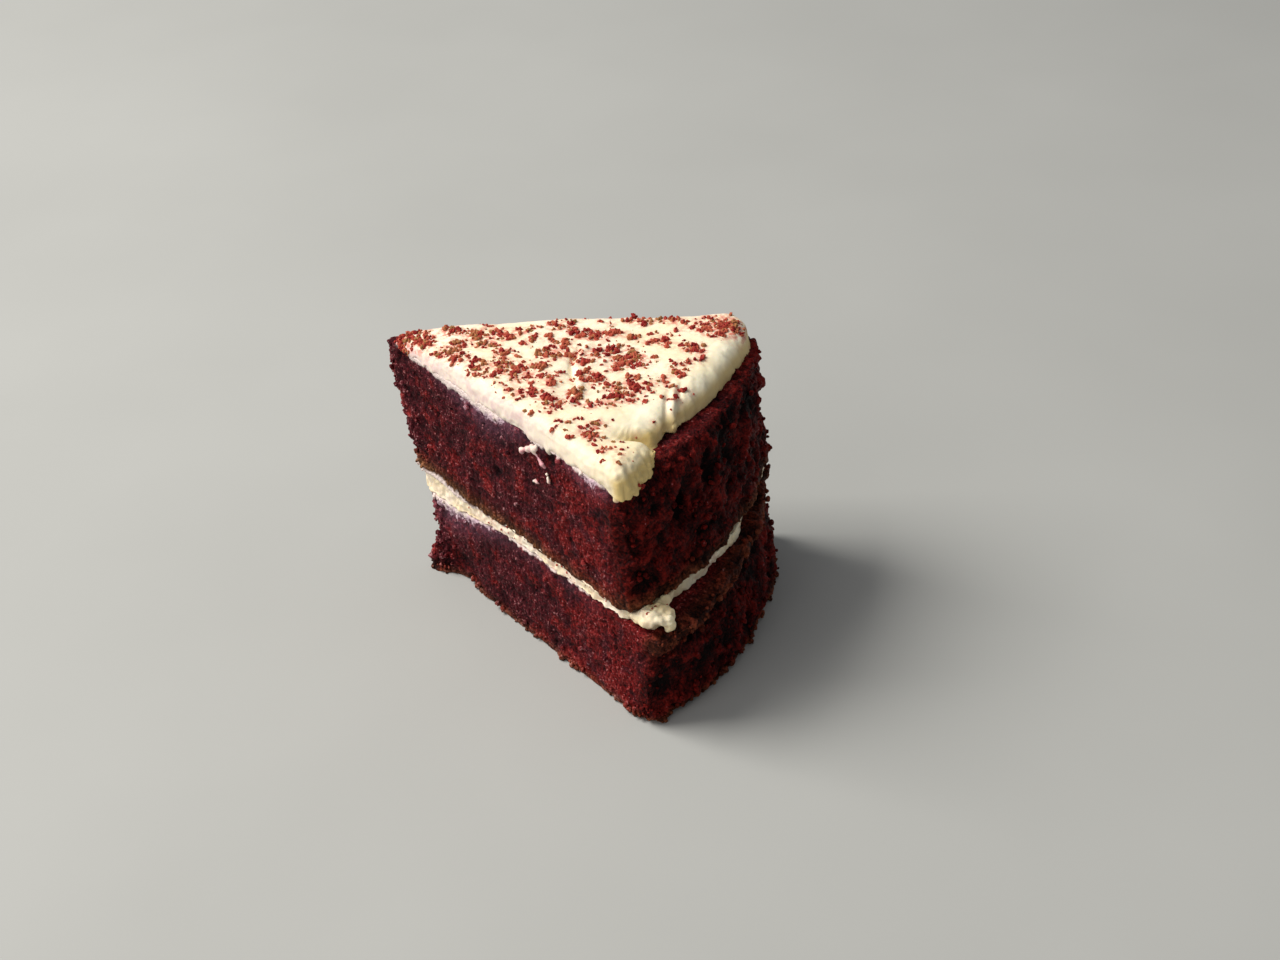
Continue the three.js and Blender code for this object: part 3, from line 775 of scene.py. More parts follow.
def crumb_relief(points, rim, tip):
    """Relief of torn cake crumb in millimetres: grains, pores and, on the rim, cobbles with
    crevices between them."""
    sway = np.stack([noise(points + shift, SWAY["wavelength"]) for shift in SWAY["shifts"]], axis=1)
    bent = points + SWAY["grains"] * sway
    grain = LEVEL - cells(bent, GRAIN)[0]
    fine = LEVEL - cells(bent + 90, FINE_GRAIN)[0]
    cobble = LEVEL - cells(points + 40 + SWAY["cobbles"] * sway, COBBLE)[0]
    pore, tone = cells(bent, PORE)
    width = 0.14 + 0.2 * tone
    pores = np.where(tone > 0.3, smoothstep(width - pore, 0, width), 0)
    cut = 1.0 * grain + 0.5 * fine + 0.4 * noise(points, 4.2) - 0.7 * pores
    lumps = 1.7 * (0.35 - np.abs(noise(points + 60, 8.5))) + 1.5 * (0.3 - np.abs(noise(bent + 5, 4.4)))
    torn = lumps + 1.1 * cobble + 0.9 * grain + 0.5 * fine - 0.9 * pores
    ragged = 1.5 * cobble + 1.0 * grain + 0.9 * noise(bent, 5)
    return lerp(lerp(cut, torn, rim), ragged + 0.4 * cut, tip * (1 - rim))


def stuck_grains(points, normals, weights, count, random):
    """Loose grains that cling to a surface, partly sunk in it, and none below the floor."""
    chosen = random.choice(len(points), size=count, p=weights / weights.sum())
    size = lerp(*LOOSE_RADIUS, random.random(count) ** 1.8)
    centres = points[chosen] + normals[chosen] * (0.35 * size)[:, None]
    centres[:, 2] = np.maximum(centres[:, 2], 0.8 * size)
    loose, faces = grains(centres, size, BALL, 0.5, 0.35, random)
    loose[:, 2] = np.maximum(loose[:, 2], 0)
    return loose, faces


def placed_marks(plan, marks, points, rim):
    """Relief in millimetres of the pits on the front cut and the lumps and crevices on the rim."""
    x, y, z = points.T
    degrees = angle_of(x, y)
    relief = np.zeros(len(points))
    for along, height, depth, width, flatness in marks["pits"]:
        steps = (points - front_point(plan, along, height)) * (1, 1, flatness)
        relief -= depth * bump(np.linalg.norm(steps, axis=1), width)
    for angle, height, width, rise in marks["lumps"]:
        relief += rise * rim * bump(np.hypot(SPONGE_ARC * (degrees - angle), z - height), width)
    for angle, height, width, tall, depth in marks["crevices"]:
        steps = np.hypot(SPONGE_ARC * (degrees - angle) / width, (z - height) / tall)
        relief -= depth * rim * bump(steps, 1)
    return relief


def loose_weights(inset, rim, tip, z):
    """Where loose grains gather: on the rim, at the tip, along the foot and at its front corner."""
    corner = fade(inset["rim"] + inset["front"], 4, 14)
    return 0.25 + 1.5 * rim + 4 * tip + 6 * bump(z, 2) + 16 * bump(z, 5) * corner


def sponge(node, name, plan, marks, material):
    """A sponge layer with its crumb, from its solid."""
    random = np.random.default_rng(marks["seed"])
    mesh = remeshed(copy_of(node), SPONGE_VOXEL, SMOOTHING["sponge"])
    mesh = thinned(mesh, is_covered(plan, mesh, *marks["covered"]))
    points = points_of(mesh)
    normals = normals_of(mesh)
    z = points[:, 2]
    inset, rim, tip = torn_edge(plan, points, normals)
    relief = crumb_relief(points, rim, tip) + placed_marks(plan, marks, points, rim)
    relief += FOOT["relief"] * bump(z, FOOT["height"]) * (FOOT["mean"] + waves(points, FOOT["waves"]))
    start, end, above = marks["ledge"]
    ledge = lerp(COVERED_RELIEF, 1, fade(inset["rim"], start, end) * (z > above))
    shown = np.where(np.abs(normals[:, 2]) > 0.7, ledge, 1)
    clinging_cream = CREAM_RELIEF["share"] * marks["cream"](inset, z)
    relief = lerp(relief * shown, CREAM_RELIEF["height"], clinging_cream)
    moved = points + normals * (relief * lerp(FLOOR_RELIEF, 1, smoothstep(z, 0, 1.5)))[:, None]
    moved[:, 2] -= marks["sag"](inset, points)
    moved[:, 2] = np.maximum(moved[:, 2], 0)
    move_points(mesh, moved)
    weights = loose_weights(inset, rim, tip, z) * shown
    loose, loose_faces = stuck_grains(moved, normals_of(mesh), weights, marks["grains"], random)
    all_points, faces = joined([(moved, faces_of(mesh)), (loose, loose_faces)])
    bpy.data.meshes.remove(mesh)
    tones = random.uniform(*LOOSE_TONES, marks["grains"])
    shade = np.concatenate([relief, np.repeat(tones, len(loose) // marks["grains"])])
    z = all_points[:, 2]
    inset = insets(plan, *all_points.T)
    rim_side = fade(inset["rim"], 3, 9)
    attributes = {
        # relief, which the sponge material turns into painted shade in pores and painted highlights on
        # grains
        "relief": np.clip(0.5 + 0.36 * shade, 0, 1),
        # painted shade on the rim side, in the sponge material
        "rim": rim_side,
        "crust": marks["crust"](inset, rim_side, z),
        "smear": marks["smear"](inset, z),
        "near": smoothstep(inset["along"], 45, 98),
        "cream": marks["cream"](inset, z),
    }
    made = mesh_from(name, all_points, faces, attributes)
    made.data.materials.append(material)
    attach(made, BODY)
    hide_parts(node)


def front_point(plan, along, height):
    """The point of the front cut face at a distance along it and a height."""
    tip, radii = plan_at(plan, [height])
    corner = rim_point(radii, np.zeros(1))[0]
    tip = tip[0]
    way = np.array([math.cos(FRONT_ANGLE), math.sin(FRONT_ANGLE)])
    share = (along - tip @ way) / ((corner - tip) @ way)
    return np.array([*lerp(tip, corner, share), height])


def lower_crust(inset, rim_side, z):
    lip = bump(z - 32, 4.5) * rim_side
    return np.clip(0.5 * bump(z, 2.4) + 0.3 * lip, 0, 1)


def upper_crust(inset, rim_side, z):
    low = UPPER_SPONGE["from"] - 0.6 * hang(inset["along"])
    band = bump(np.maximum(z - low, 0), 3.9) * (1 - 0.3 * smoothstep(inset["along"], 60, 80))
    return np.clip(band * (1 - rim_side) + 0.5 * rim_side * bump(z - 40, 3.6), 0, 1)


def clinging(depth, reach, inset, z):
    """Share of cream left in streaks on a cut face, at a depth away from the cream it comes from."""
    streaks = waves(columns(inset["along"], 0, 0.3 * z), ((0.75, 1.3, 0), (0.7, 3.4, 40)))
    inside = fade(inset["side"], 2, 4) * smoothstep(inset["rim"], 4, 8)
    return inside * smoothstep(1 - depth / reach + 0.8 * streaks, 0.2, 0.7)


def lower_top(along):
    """Height of the lower sponge's top along a cut face."""
    return lerp(LOWER_TOP["tip"], LOWER_TOP["rim"], smoothstep(along, *THINNING))


def lower_cream(inset, z):
    along = inset["along"]
    reach = 0.5 + 1.9 * bump(along - 12, 16) + 0.5 * bump(along - 50, 25)
    return fade(along, 84, 95) * clinging(lower_top(along) - z, reach, inset, z)


def hang(along):
    """How far the crumbly lower edge of the upper sponge's cut faces hangs over the filling."""
    return smoothstep(along, 0, 34) * (1.7 + 1.2 * bump(along - 22, 12))


def upper_cream(inset, z):
    along = inset["along"]
    above = z - (UPPER_SPONGE["from"] - hang(along))
    below = np.interp(along, *zip(*FRONT_EDGE)) - z
    low = clinging(above, 0.3 + 1.3 * bump(along - 14, 16) + 0.3 * bump(along - 50, 30), inset, z)
    reach = 0.8 + 2.4 * bump(along - 40, 20) + 0.7 * bump(along - 6, 12) + 0.7 * bump(along - 97, 9)
    high = clinging(below, reach, inset, z) * smoothstep(along, -10, 2)
    return np.maximum(low, high)


def no_sag(inset, points):
    return 0


def upper_sag(inset, points):
    """How far points of the upper sponge sag over the filling, along its cut faces."""
    low = bump(np.maximum(points[:, 2] - UPPER_SPONGE["from"], 0), 3)
    inside = fade(inset["side"], 1.5, 3.5) * smoothstep(inset["rim"], 2, 6)
    return hang(inset["along"]) * (1 + 0.45 * noise(points, 2.6)) * low * inside


def lower_smear(inset, z):
    along = inset["along"]
    reach = 5 + 2.5 * fade(along, 14, 40)
    near = bump(np.maximum(lower_top(along) - z, 0), reach) * fade(inset["side"], 2, 4)
    return near * smoothstep(along, 0, 8) * (1 - 0.75 * smoothstep(along, 34, 50)) * fade(along, 88, 102)


def upper_smear(inset, z):
    along = inset["along"]
    wide = bump(along - 40, 21)
    corner = bump(along - 94, 13)
    near = bump(np.maximum(82 - z, 0), 1.6 + 6.5 * wide + 4 * corner) * fade(inset["side"], 2, 4)
    return near * (0.3 + 0.78 * wide + 0.75 * corner) * smoothstep(along, -4, 14) * fade(along, 102, 110)


# What marks each sponge. covered: how far in from the rim its top and its base are covered. ledge:
# the distances in from the rim over which the open part of its top ends, and a height below its top.
# lumps: angle, height, width, rise. pits, on the front cut: along, height, depth, width, flatness.
# crevices: angle, height, width, how tall, depth. A negative depth or rise turns one into the other.
LOWER_MARKS = {
    "seed": 3,
    "covered": (12, 4),
    "ledge": (8, 11, 10),
    "grains": 620,
    "lumps": (
        (-24, 2.5, 3.5, 1.6), (-16, 30, 3.5, 0.8), (12, 20, 4, 1.0),
    ),
    "pits": (
        (17, 8, 1.4, 3, 1), (60, 20, 0.9, 1.5, 1),
    ),
    "crevices": (
        (-14, 17, 7, 3, 1.6), (-24, 16, 4, 5, 1.5), (-10, 26.5, 20, 2.4, 1.6), (8, 25, 9, 3, 1.2),
    ),
    "crust": lower_crust,
    "cream": lower_cream,
    "sag": no_sag,
    "smear": lower_smear,
}
UPPER_MARKS = {
    "seed": 5,
    "covered": (19, 5),
    "ledge": (16, 19, 60),
    "grains": 370,
    "lumps": (
        (22, 79, 2.8, 2.4), (21, 71.5, 3.2, 2.8), (21.3, 65.5, 2.2, -1.6), (20, 58, 3, 1.4),
        (-23, 74, 3, 1.0), (-4, 60, 3.5, 1.2),
    ),
    "pits": (
        (-16, 72, -2.0, 4, 1), (-13, 61.5, -1.9, 3.2, 1), (46, 59, 1.8, 1.9, 1),
        (102, 70, 1.6, 1.7, 1), (64.5, 80.5, 2.2, 2.6, 1.4), (75, 78, 1.2, 2, 1),
        (13, 66, 1.0, 1.5, 1), (83, 52, 0.9, 1.6, 1),
    ),
    "crevices": (
        (-12.7, 65, 2.2, 4.5, 2.4), (-19.5, 71, 3, 1.8, 1.8), (-5.5, 69.5, 2.6, 4.5, 2.2),
        (1.5, 68, 3.5, 4, 2.0), (-17, 62, 5, 1.6, 1.4), (-9, 53, 6, 1.8, 1.4), (12, 55, 3, 5, 1.8),
        (20, 66, 3, 4, 1.8),
    ),
    "crust": upper_crust,
    "cream": upper_cream,
    "sag": upper_sag,
    "smear": upper_smear,
}


# Filling: how far in from the rim its top and its base are covered, the waves of its surface, and the
# blob at its front corner with its notches
FILLING_COVERED = (16, 16)
FILLING_WAVES = ((0.45, 3.2, 0), (0.4, 1.3, 0))
BLOB = {"middle": (105.5, -44, 37.8), "radius": 9, "waves": ((0.5, 2.1, 20), (0.35, 1.0, 70))}
BLOB_NOTCHES = (
    ((108.4, -48.2, 36.6), 1.2, 2.6), ((108.2, -45.8, 39.6), 1.1, 1.5), ((101.5, -46.5, 38.6), 1.0, 0.8),
)

# Crumbs on the filling: how many on each cut face and how far along, the middle and half height of
# the filling from its tip to its rim, then those on the blob, as places above it and radii
FILLING_CRUMBS = {"count": 34, "along": 106, "radius": (0.2, 0.5), "sunk": 0.1}
FILLING_MIDDLE = (33.5, 37.2)
FILLING_HALF = (3.8, 2.2)
BLOB_CRUMBS = (
    ((104.2, -47.6, 60), 0.7), ((104.6, -44.6, 60), 0.5), ((105.2, -43.2, 60), 0.45),
    ((107.8, -40.5, 60), 0.4),
)
BLOB_CRUMB_GRAINS = 3


def filling(material):
    """The cream between the sponges, from its solid, ragged where it was cut. Returns its points and
    faces, for what clings to it."""
    mesh = remeshed(copy_of("filling"), CREAM_VOXEL, SMOOTHING["filling"])
    mesh = thinned(mesh, is_covered(LOWER_SPONGE, mesh, *FILLING_COVERED))
    points = points_of(mesh)
    normals = normals_of(mesh)
    inset = insets(LOWER_SPONGE, *points.T)
    blob = bump(np.linalg.norm(points - BLOB["middle"], axis=1), BLOB["radius"])
    plain = 1 - blob
    wall = smoothstep(1 - np.abs(normals[:, 2]), 0.3, 0.8)
    swell = waves(points, FILLING_WAVES) - 0.4 * wall * plain + blob * waves(points, BLOB["waves"])
    moved = points + normals * (swell - notched(points, BLOB_NOTCHES))[:, None]
    far = smoothstep(inset["along"], 10, 40)
    moved[:, 2] -= plain * (0.4 * far - 0.1 + 0.4 * noise(points, 2.1)) * normals[:, 2]
    move_points(mesh, moved)
    stained = smoothstep(waves(points, ((1, 3.1, 0), (0.6, 1.2, 0))), -0.3, 0.6)
    attributes = {
        "cut": 0.5 * fade(inset["side"], 3, 6) * plain,
        # Painted shade: a yellow tint over the filling, stronger on the blob and in patches
        "painted_shade": np.clip(0.15 + 0.3 * blob + 0.4 * noise(points, 6), 0, 1),
        "stain": 0.35 * far * plain * stained,
        "smeared": 0.1 * far * plain * smoothstep(noise(points, 2.6), -0.2, 0.5),
    }
    faces = faces_of(mesh)
    made = mesh_from("cream_filling", moved, faces, attributes)
    made.data.materials.append(material)
    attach(made, BODY)
    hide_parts("filling")
    return moved, faces


def filling_crumbs(cream, material):
    """Cake crumbs that cling to the cut sides of the filling and to its blob."""
    random = np.random.default_rng(31)
    surface = BVHTree.FromPolygons([tuple(point) for point in cream[0]], cream[1])
    centres = []
    radii = []
    for angle, turn in ((FRONT_ANGLE, -1), (BACK_ANGLE, 1)):
        way = np.array([math.cos(angle), math.sin(angle), 0])
        out = turn * np.array([-way[1], way[0], 0])
        for _ in range(FILLING_CRUMBS["count"]):
            along = FILLING_CRUMBS["along"] * random.random() ** 0.7
            rise = float(smoothstep(along, *THINNING))
            off = math.copysign(random.random() ** 0.45, random.random() - 0.5)
            height = lerp(*FILLING_MIDDLE, rise) + lerp(*FILLING_HALF, rise) * off
            start = way * along + out * RAY_START + (0, 0, height)
            hit = surface.ray_cast(Vector(start), Vector(-out))[0]
            if hit is not None:
                radii.append(lerp(*FILLING_CRUMBS["radius"], random.random() ** 1.6))
                centres.append(np.array(hit) + FILLING_CRUMBS["sunk"] * out)
    for place, radius in BLOB_CRUMBS:
        hit = surface.ray_cast(Vector(place), Vector((0, 0, -1)))[0]
        for _ in range(BLOB_CRUMB_GRAINS):
            centres.append(np.array(hit) + random.normal(0, 0.45 * radius, 3) * (1, 1, 0.3))
            radii.append(radius * random.uniform(0.6, 1))
    points, faces = grains(np.array(centres), np.array(radii), BALL, 0.5, 0.45, random)
    tone = np.repeat(random.uniform(0, 0.4, len(radii)), len(points) // len(radii))
    made = mesh_from("filling_crumbs", points, faces, {"tone": tone})
    made.data.materials.append(material)
    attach(made, BODY)
    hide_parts("filling")


# Frosting


def path_steps(path):
    """How far along a path each of its points is."""
    return np.concatenate([[0], np.cumsum(np.linalg.norm(np.diff(path, axis=0), axis=1))])


def outline(plan, z, count):
    """A plan's outline at a height, evenly divided: cut face, front corner, rim, back corner, tip."""
    tip, radii = plan_at(plan, z)
    tip = tip[0]
    front = rim_point(radii, np.zeros(1))[0]
    back = rim_point(radii, np.ones(1))[0]
    length = (BACK_ANGLE - FRONT_ANGLE) * radii[0, 0]
    share = np.linspace(plan["front_round"] / length, 1 - plan["back_round"] / length, RIM_STEPS)
    rim = rim_point(np.repeat(radii, len(share), axis=0), share)

    def toward(start, end, distance):
        return start + (end - start) / np.linalg.norm(end - start) * distance

    def bend(start, middle, end):
        t = np.linspace(0, 1, CORNER_STEPS)[:, None]
        return (1 - t) ** 2 * start + 2 * t * (1 - t) * middle + t**2 * end

    start = toward(tip, front, plan["blunt"])
    path = np.concatenate([
        bend(toward(front, tip, plan["front_round"]), front, rim[0]),
        rim,
        bend(rim[-1], back, toward(back, tip, plan["back_round"])),
        bend(toward(tip, back, plan["blunt"]), tip, start),
    ])
    path = np.concatenate([path, path[:1]])
    steps = path_steps(path)
    places = np.linspace(0, steps[-1], count, endpoint=False)
    return np.stack([np.interp(places, steps, path[:, axis]) for axis in (0, 1)], axis=1)


def tube_faces(rows, count):
    """Faces of a tube of rings with count points each, and of its two ends."""
    ring = np.arange(count)
    after = (ring + 1) % count
    quads = np.stack([ring, after, after + count, ring + count], axis=1)
    faces = (quads + count * np.arange(rows - 1)[:, None, None]).reshape(-1, 4).tolist()
    return [*faces, ring[::-1].tolist(), (ring + (rows - 1) * count).tolist()]


def puck(plan, low, high, z_low, z_high):
    """A closed form over a plan, from its underside z = low(x, y) to its top z = high(x, y)."""
    lower = outline(plan, z_low, OUTLINE_POINTS)
    upper = outline(plan, z_high, OUTLINE_POINTS)
    middle = upper.mean(axis=0)
    near = np.arange(0, NEAR_EDGE, FINE_STEP)
    far = np.arange(NEAR_EDGE, MIDDLE_REACH, COARSE_STEP)
    shares = 1 - np.concatenate([near, far]) / MIDDLE_REACH
    rows = []
    for share in shares[:0:-1]:
        flat = (middle + (lower - middle) * share).T
        rows.append(columns(*flat, low(*flat)))
    for share in np.linspace(0, 1, WALL_ROWS):
        rows.append(columns(*lerp(lower, upper, share).T, lerp(low(*lower.T), high(*upper.T), share)))
    for share in shares[1:]:
        flat = (middle + (upper - middle) * share).T
        rows.append(columns(*flat, high(*flat)))
    return np.concatenate(rows), tube_faces(len(rows), OUTLINE_POINTS)


# Lower edge of the topping along the front cut: how far along, and its height there
FRONT_EDGE = (
    (-8, 83.2), (0, 83), (8, 82.6), (20, 82), (40, 81.6), (50, 82.6), (61, 83), (66, 80.4), (72, 81.4),
    (85, 81.6), (108, 81.2),
)

# Aprons of cream that hang from the topping over the cut faces
APRONS = {
    "front": {"start": -6, "corner": 0, "turn": 1, "seed": 7, "edge": FRONT_EDGE},
    "back": {"start": 1, "corner": 1, "turn": -1, "seed": 77, "edge": ((0, 81.8), (106, 81.8))},
}
APRON_END = 106
APRON_TOP = 87.0
APRON_STEP = 0.5
APRON_DEPTH = 2.5


def apron(side):
    """Cream that the knife dragged down over a cut face of the sponge, with a ragged edge. It is a
    band whose section is closed: outside top, outside low, edge, inside low and inside top."""
    form = APRONS[side]
    along = np.arange(form["start"], APRON_END, APRON_STEP)
    tip, radii = plan_at(UPPER_SPONGE, UPPER_SPONGE["to"])
    corner = rim_point(radii, np.array([form["corner"]]))[0]
    tip = tip[0]
    way = (corner - tip) / np.linalg.norm(corner - tip)
    out = form["turn"] * np.array([way[1], -way[0]])
    base = np.interp(along, *zip(*form["edge"]))
    seeds = columns(along, form["seed"], 0)
    teeth = 2.4 * np.abs(noise(seeds, 1.9)) + 1.3 * np.abs(noise(seeds, 4.1))
    edge = base + 1.2 - teeth - 0.4 * noise(seeds, 9)
    proud = 0.3 + 0.3 * noise(seeds + 30, 2.6)
    lines = tip + way * (along - tip @ way + 0.4)[:, None]
    wall = np.minimum(insets(TOPPING, *lines.T, APRON_TOP)[side], 0)
    top = np.minimum(APRON_TOP, soft_crown(*(lines + out * (wall[:, None] - 0.4)).T) - 0.6)
    rows = []
    for line, low, high, stand, set_back in zip(lines, edge, top, proud, wall):
        section = (
            (set_back, high),
            (lerp(set_back, stand, 0.45), lerp(high, low, 0.35)),
            (lerp(set_back, stand, 0.85), lerp(high, low, 0.7)),
            (stand - 0.1, min(low + 0.8, lerp(low, high, 0.2))),
            (-0.6, low - 0.5),
            (set_back - APRON_DEPTH, low),
            (set_back - APRON_DEPTH, high),
        )
        rows.append([(*(line + out * across), height) for across, height in section])
    points = np.array(rows).reshape(-1, 3)
    faces = tube_faces(len(rows), len(section))
    return points, [face[::-form["turn"]] for face in faces]


# Curls of cream on the front cut: paths of (how far along, height) and their thickness
CURL_STEP = 0.35
CURL_STRAY = 0.28
CURLS = (
    {"path": ((60, 74), (62.5, 76), (65, 77.2), (67.5, 78.4), (69, 80.5)), "radius": 1.1},
    {"path": ((67.5, 78.4), (70, 76), (72.5, 73.6)), "radius": 0.9},
    {"path": ((73.5, 72), (75, 69.5)), "radius": 0.65},
    {"path": ((66, 65.4), (67, 66.4), (68.5, 66.2)), "radius": 0.65},
)


def curls(random):
    """Smeared strands, as rows of overlapping balls that the remeshing runs together."""
    centres = []
    radii = []
    for curl in CURLS:
        path = np.array(curl["path"], float)
        steps = path_steps(path)
        for place in np.arange(0, steps[-1], CURL_STEP):
            along, height = (np.interp(place, steps, path[:, axis]) for axis in (0, 1))
            centres.append(front_point(UPPER_SPONGE, along, height) + random.normal(0, CURL_STRAY, 3))
            radii.append(curl["radius"] * random.uniform(0.5, 1.15))
    return grains(np.array(centres), np.array(radii), BALL, 0.3, 0.3, random)


# Rolls of cream at the lobe's rim side: places and radii, then notches, then lumps at random
LOBE_ROLLS = (
    ((98.0, -28.2, 84.6), 1.5), ((99.5, -30.0, 84.8), 1.6), ((99.6, -32.6, 81.0), 1.3),
    ((98.6, -36.2, 80.2), 1.2), ((99.9, -38.8, 82.6), 1.6), ((97.6, -40.6, 79.5), 1.2),
    ((98.9, -43.2, 81.4), 1.5), ((95.4, -45.8, 78.8), 1.3), ((98.6, -9.8, 83.2), 1.7),
    ((99.2, -7.6, 82.8), 1.6), ((99.6, -5.6, 82.8), 1.3),
)
LOBE_NOTCHES = (
    ((100.2, -31.6, 82.8), 1.2, 1.5), ((99.6, -34.6, 81.4), 0.9, 0.9), ((99.4, -38.6, 79.4), 1.0, 1.1),
    ((97.6, -42.8, 78.4), 0.9, 1.0), ((100.4, -36.8, 84.0), 0.8, 0.7), ((99.6, -41, 84.6), 0.9, 0.6),
)
LUMPS = {"count": 16, "angle": (-25.0, -11.0), "radius": (0.8, 1.5), "height": (81, 85.5)}

# Where the topping is more ragged, smoother, painted with yellow shade, pinker and stained by crumbs
RAGGED_LOBE = {"at": (99, -40), "radius": 12}
SMOOTH_DIMPLE = {"at": (91, -25), "radius": 9}
SHADED_LOBE = {"at": (96, -37), "radius": 11}
PINK_TIP = {"at": (-9, 6.5, 84), "radius": 3.4}
STAINS = (((96, 42), (9, 5.5), 1.6), ((-3, 5), (11, 5.5), 1.5))
TOPPING_COVERED = (math.inf, 8)

# Grooves and ribs across the topping's rim edge: angle, width in degrees, and rise in millimetres
RIM_GROOVES = (
    (-8.2, 0.8, -1.0), (-6.2, 0.8, 0.9), (-4.2, 0.8, -0.9), (-1, 1.2, 0.3), (5, 1.6, -0.4),
)
RIM_SLANT = 0.9


def lobe_lumps(random):
    """The rolls and the lumps at random, as balls."""
    centres = [place for place, _ in LOBE_ROLLS]
    radii = [radius for _, radius in LOBE_ROLLS]
    angles = random.uniform(*LUMPS["angle"], LUMPS["count"])
    for angle, radius in zip(angles, random.uniform(*LUMPS["radius"], LUMPS["count"])):
        fraction = np.array([(math.radians(angle) - FRONT_ANGLE) / (BACK_ANGLE - FRONT_ANGLE)])
        height = lerp(*LUMPS["height"], random.random())
        place = rim_point(plan_at(TOPPING, height)[1], fraction)[0]
        inward = 1 - (0.2 + 0.7 * radius) / np.linalg.norm(place)
        centres.append((*(place * inward), height))
        radii.append(radius)
    return grains(np.array(centres), np.array(radii), FINE_BALL, 0.25, 0.35, random)


def spatula_marks(points, normals):
    """Fine relief of the topping: drag marks across the rim's edge, a fold, and small waves."""
    x, y, z = points.T
    inset = insets(TOPPING, x, y, z)
    up = smoothstep(normals[:, 2], 0.1, 0.6)
    edge = fade(inset["rim"], 3, 10)
    degrees = angle_of(x, y)
    arc = TOPPING_ARC * degrees
    ribs = noise(columns(arc, 0.15 * inset["rim"], 0.2 * z), 1.7)
    wide = noise(columns(arc, 0.2 * inset["rim"], 0.15 * z) + 50, 4.2)
    lobe = bump(away(x, y, RAGGED_LOBE["at"]), RAGGED_LOBE["radius"])
    smooth = 1 - 0.85 * bump(away(x, y, SMOOTH_DIMPLE["at"]), SMOOTH_DIMPLE["radius"])
    slanted = degrees - RIM_SLANT * inset["rim"]
    grooves = sum(rise * bump(slanted - at, width) for at, width, rise in RIM_GROOVES)
    step, run = furrow_steps(x, y)
    bent = step + 1.6 * np.sin(np.clip(run, -0.3, 1.3) * 5.5)
    reach = smoothstep(run, -0.2, 0.1) * fade(run, 0.9, 1.25)
    fold = reach * (bump(bent + 1.1, 1.3) - 0.9 * bump(bent - 0.9, 1.0))
    sweep = noise(columns(0.35 * (x + y), 1.4 * (x - y), 0), 4.5)
    wall = (1 - up) * fade(inset["side"], 1.5, 4) * (1 - edge)
    drag = noise(columns(1.6 * arc, 0, 0.15 * z), 1.1)
    return (
        edge * (0.2 * ribs + 0.35 * wide) * (1 + 0.8 * lobe) * smooth
        + grooves * fade(inset["rim"], 5, 9) * (1 - 0.4 * up)
        + up * (1 - edge) * (0.2 * sweep + fold)
        + wall * waves(points, ((0.25, 6, 0), (0.1, 2.2, 0)))
        + 0.1 * noise(points, 1.5) * (1 + 2 * lobe)
        + 0.28 * drag * lobe * (1 - up)
        - notched(points, LOBE_NOTCHES)
    )


def frosting():
    """The topping's mesh without its crumbs, with its drag marks and the cream smeared on the cuts."""
    random = np.random.default_rng(11)
    forms = [
        puck(TOPPING, topping_base, soft_crown, TOPPING["from"], CROWN),
        apron("front"),
        apron("back"),
        curls(random),
        lobe_lumps(random),
    ]
    mesh = remeshed(mesh_from("frosting_rough", *joined(forms)), CREAM_VOXEL, SMOOTHING["topping"])
    mesh = thinned(mesh, is_covered(TOPPING, mesh, *TOPPING_COVERED))
    points = points_of(mesh)
    normals = normals_of(mesh)
    move_points(mesh, points + normals * spatula_marks(points, normals)[:, None])
    return mesh


def finish_frosting(mesh, crumbs, material):
    """The frosting as a piece, stained where the crumbs lie."""
    points = points_of(mesh)
    x, y, z = points.T
    stain = np.zeros(len(points))
    for *at, radius in crumbs:
        stain += 0.3 * radius * bump(away(x, y, at), 0.8 + radius)
    for at, (length, width), depth in STAINS:
        stain += depth * bump(np.hypot((x - at[0]) / length, (y - at[1]) / width), 1)
    inset = insets(TOPPING, x, y, z)
    # Painted shade: yellow in the fold, on the lobe and under the rim edge; the lobe also keeps less of
    # the whiter cut colour
    shaded_fold = smoothstep(x, 84, 92) * bump(beside(FOLD, x, y) - 0.5, 2.6) * bump(x - 94, 9)
    lobe = bump(away(x, y, SHADED_LOBE["at"]), SHADED_LOBE["radius"])
    shade_under_edge = fade(inset["rim"], 1, 6) * smoothstep(88.5 - z, 0, 3.5)
    tip = bump(np.linalg.norm(points - PINK_TIP["at"], axis=1), PINK_TIP["radius"])
    low_curl = smoothstep(79.5 - z, 0, 2) * smoothstep(noise(points, 1.7), -0.5, 0.3)
    white = (1 - 0.6 * lobe) * (1 - 0.5 * smoothstep(inset["along"], 55, 85))
    attributes = {
        "cut": fade(inset["side"], 0.3, 2.5) * white,
        "painted_shade": np.clip(shaded_fold + 0.4 * lobe + 0.85 * shade_under_edge, 0, 1),
        "stain": np.clip(stain, 0, 1) * smoothstep(normals_of(mesh)[:, 2], 0.2, 0.6),
        "smeared": np.clip(low_curl + 0.75 * tip, 0, 1),
    }
    made = mesh_from("cream_topping", points, faces_of(mesh), attributes)
    made.data.materials.append(material)
    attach(made, BODY)
    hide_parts("frosting")


# Crumbs


def random_from(seed):
    """Random numbers between 0 and 1, from a seed."""
    state = seed
    while True:
        state = (state * 1664525 + 1013904223) & 0xFFFFFFFF
        yield state / 4294967296


